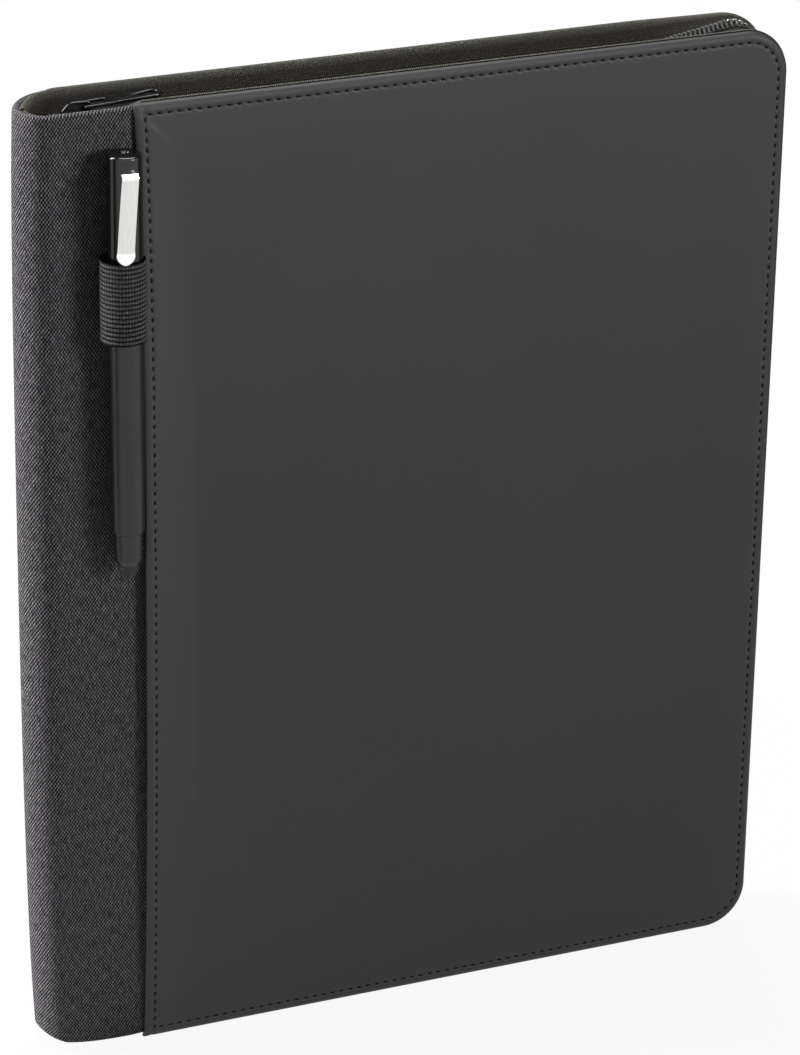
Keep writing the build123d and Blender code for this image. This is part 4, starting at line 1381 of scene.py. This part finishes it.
def pocket_points(lo, hi, side):
    """A sheet whose stand-off eases up from its sides and foot; the hem band at the top is thicker."""
    x = np.linspace(lo[0], hi[0], 60)
    hem = hi[2] - POCKET_HEM
    z = np.concatenate([np.linspace(lo[2], hem - 0.3, 60), np.linspace(hem, hi[2], 8)])[:, None]
    stand = eased(np.minimum(np.minimum(x - lo[0], hi[0] - x), z - lo[2]) / POCKET_EASE)
    band = HEM_RISE * eased((z - hi[2] + POCKET_HEM) / 0.6)
    sway = SWAY * np.sin(x / 23) * np.sin(z / 31) * stand
    seat, face = lo[1] + SEAT_GAP, hi[1] - FACE_GAP
    if side == "rear":
        seat, face = hi[1] - SEAT_GAP, lo[1] + FACE_GAP
    inward = 1 if side == "front" else -1
    y = seat + (face - seat) * stand + inward * (sway * abs(face - seat) + band * 0.5)
    return grid(x, y, z), grid(x, z)


for node, side in (("document_pocket", "front"), ("card_pocket", "front"), ("pad_pocket", "rear")):
    half = side + "_half"
    lo, hi = corners(node)
    points, uv = pocket_points(lo, hi, side)
    made = piece(node + "_cloth", points, LINING, half, [node], uv, CLOTH_THICK)
    left, right, foot = lo[0] + SEW_INSET, hi[0] - SEW_INSET, lo[2] + SEW_INSET
    sewn = rounded_path([(left, hi[2]), (left, foot), (right, foot), (right, hi[2])], [SEW_ROUND, SEW_ROUND])
    depth = SEW_DEPTH + (lo[1] - front_y if side == "front" else rear_y - hi[1])
    count = int(lengths_along(sewn)[-1] / STITCH_PITCH)
    piece(node + "_stitches", beads(sewn, depth, side, count, STITCH_PITCH), THREAD, half)

# %% [markdown]
# The pad's sheets, its backing board and its binding strip are stiff and have the right shape already, so
# the solids stay and only get their finishes.

# %% Finishes of the stiff solids
refinish("pad_sheets", PAPER)
refinish("pad_backing_board", GREYBOARD)
refinish("pad_header_tape", BINDING)

# %% [markdown]
# ## Stage and light
# A pale round table top in a white studio. The camera sees white all round. Glossy and transmitted rays
# meet a white floor and a white wall in front; to the sides and behind the room is dim, which gives black
# plastic its dark bands. The main light is a gridded lamp to the right, so the pen and the panel's lip
# throw shadows on the canvas, and a large one at the rear left lights the spine's back.

# %% Stage and light
FLOOR_RADIUS, FLOOR_LEVEL = 420.0, -0.02
SHADOW_SHARE, SHADOW_FADE = 0.07, (0.25, 0.4)
FRONT_WALL, DIM_ROOM = 0.13, 0.04
WALL_EDGE = math.radians(68), math.radians(84)
WALL_FOOT, MIRRORED_WALL = (-0.45, -0.05), (0.96, 1.4)


def mirrored(tree, rays):
    """1 for a ray that a glossy or a clear surface sends on."""
    return calc(tree, "MAXIMUM", rays["Is Glossy Ray"], rays["Is Transmission Ray"])


def stage():
    """A flat disc of rings; its white for the camera grows to full towards the rim, so no edge shows."""
    radius = np.linspace(0, FLOOR_RADIUS, 8)[:, None]
    turn = np.linspace(0, 2 * np.pi, 97)
    disc = grid(radius * np.cos(turn), book_y + radius * np.sin(turn), FLOOR_LEVEL)
    made, tree, shader = finish("white_studio_floor", {"Base Color": colour("bcbcbc"), "Roughness": 0.9})
    rays = add(tree, "LightPath", out=None)
    away = add(tree, "VectorMath", {0: add(tree, "TexCoord", out="Object")}, "Value", operation="LENGTH")
    rim = span(tree, away, *SHADOW_FADE, 1 - SHADOW_SHARE)
    plain = calc(tree, "MAXIMUM", rays["Is Camera Ray"], mirrored(tree, rays))
    white = add(tree, "Emission", {"Color": (1, 1, 1, 1), "Strength": 1.0})
    layers = {0: calc(tree, "MULTIPLY", plain, rim), 1: shader.outputs[0], 2: white}
    tree.links.new(add(tree, "MixShader", layers), tree.nodes["Material Output"].inputs["Surface"])
    piece("floor", disc, made)


def studio_world():
    """White for the camera; else a bright wall, by the ray's angle from the front, in a dim room."""
    world = bpy.data.worlds.new("studio")
    bpy.context.scene.world = world
    world.use_nodes = True
    tree = world.node_tree
    rays = add(tree, "LightPath", out=None)
    axes = add(tree, "SeparateXYZ", {0: add(tree, "TexCoord", out="Generated")}, None)
    angle = calc(tree, "ARCTAN2", axes["X"], calc(tree, "MULTIPLY", axes["Y"], -1.0))
    wall = span(tree, calc(tree, "ABSOLUTE", angle), *WALL_EDGE, 1.0, 0.0)
    upper = span(tree, axes["Z"], *WALL_FOOT, *MIRRORED_WALL)
    bright = span(tree, mirrored(tree, rays), 0.0, 1.0, FRONT_WALL, upper)
    room = calc(tree, "MAXIMUM", calc(tree, "MULTIPLY", wall, bright), DIM_ROOM)
    background = tree.nodes["Background"]
    background.inputs["Color"].default_value = (1, 1, 1, 1)
    tree.links.new(calc(tree, "MAXIMUM", room, rays["Is Camera Ray"]), background.inputs["Strength"])


def lamp(name, place, aim, wide, tall, watts, spread=180):
    """A soft rectangular lamp at place, turned to aim; a grid can narrow its spread, in degrees."""
    light = bpy.data.lights.new(name, "AREA")
    light.shape = "RECTANGLE"
    light.size = wide
    light.size_y = tall
    light.energy = watts
    light.spread = math.radians(spread)
    made = bpy.data.objects.new(name, light)
    made.location = place
    made.rotation_euler = (Vector(aim) - Vector(place)).to_track_quat("-Z", "Y").to_euler()
    bpy.context.scene.collection.objects.link(made)


stage()
studio_world()
book = (0.0, book_y * MM, height * MM / 2)
pen_side = (-0.1, book_y * MM, 0.42)
lamp("rear_left_softbox", (-1.4, 0.7, 0.95), book, 0.5, 1.6, 74)
lamp("left_card", (-1.45, 0.45, 0.15), book, 0.55, 1.8, 2.5)
lamp("right_softbox", (1.08, -1.62, 0.8), pen_side, 0.8, 0.5, 0.88, spread=25)
lamp("top_softbox", (0.3, 0.5, 1.8), book, 1.0, 0.7, 26)
bpy.context.scene.view_settings.view_transform = "Standard"
print("four lamps, front wall", FRONT_WALL)
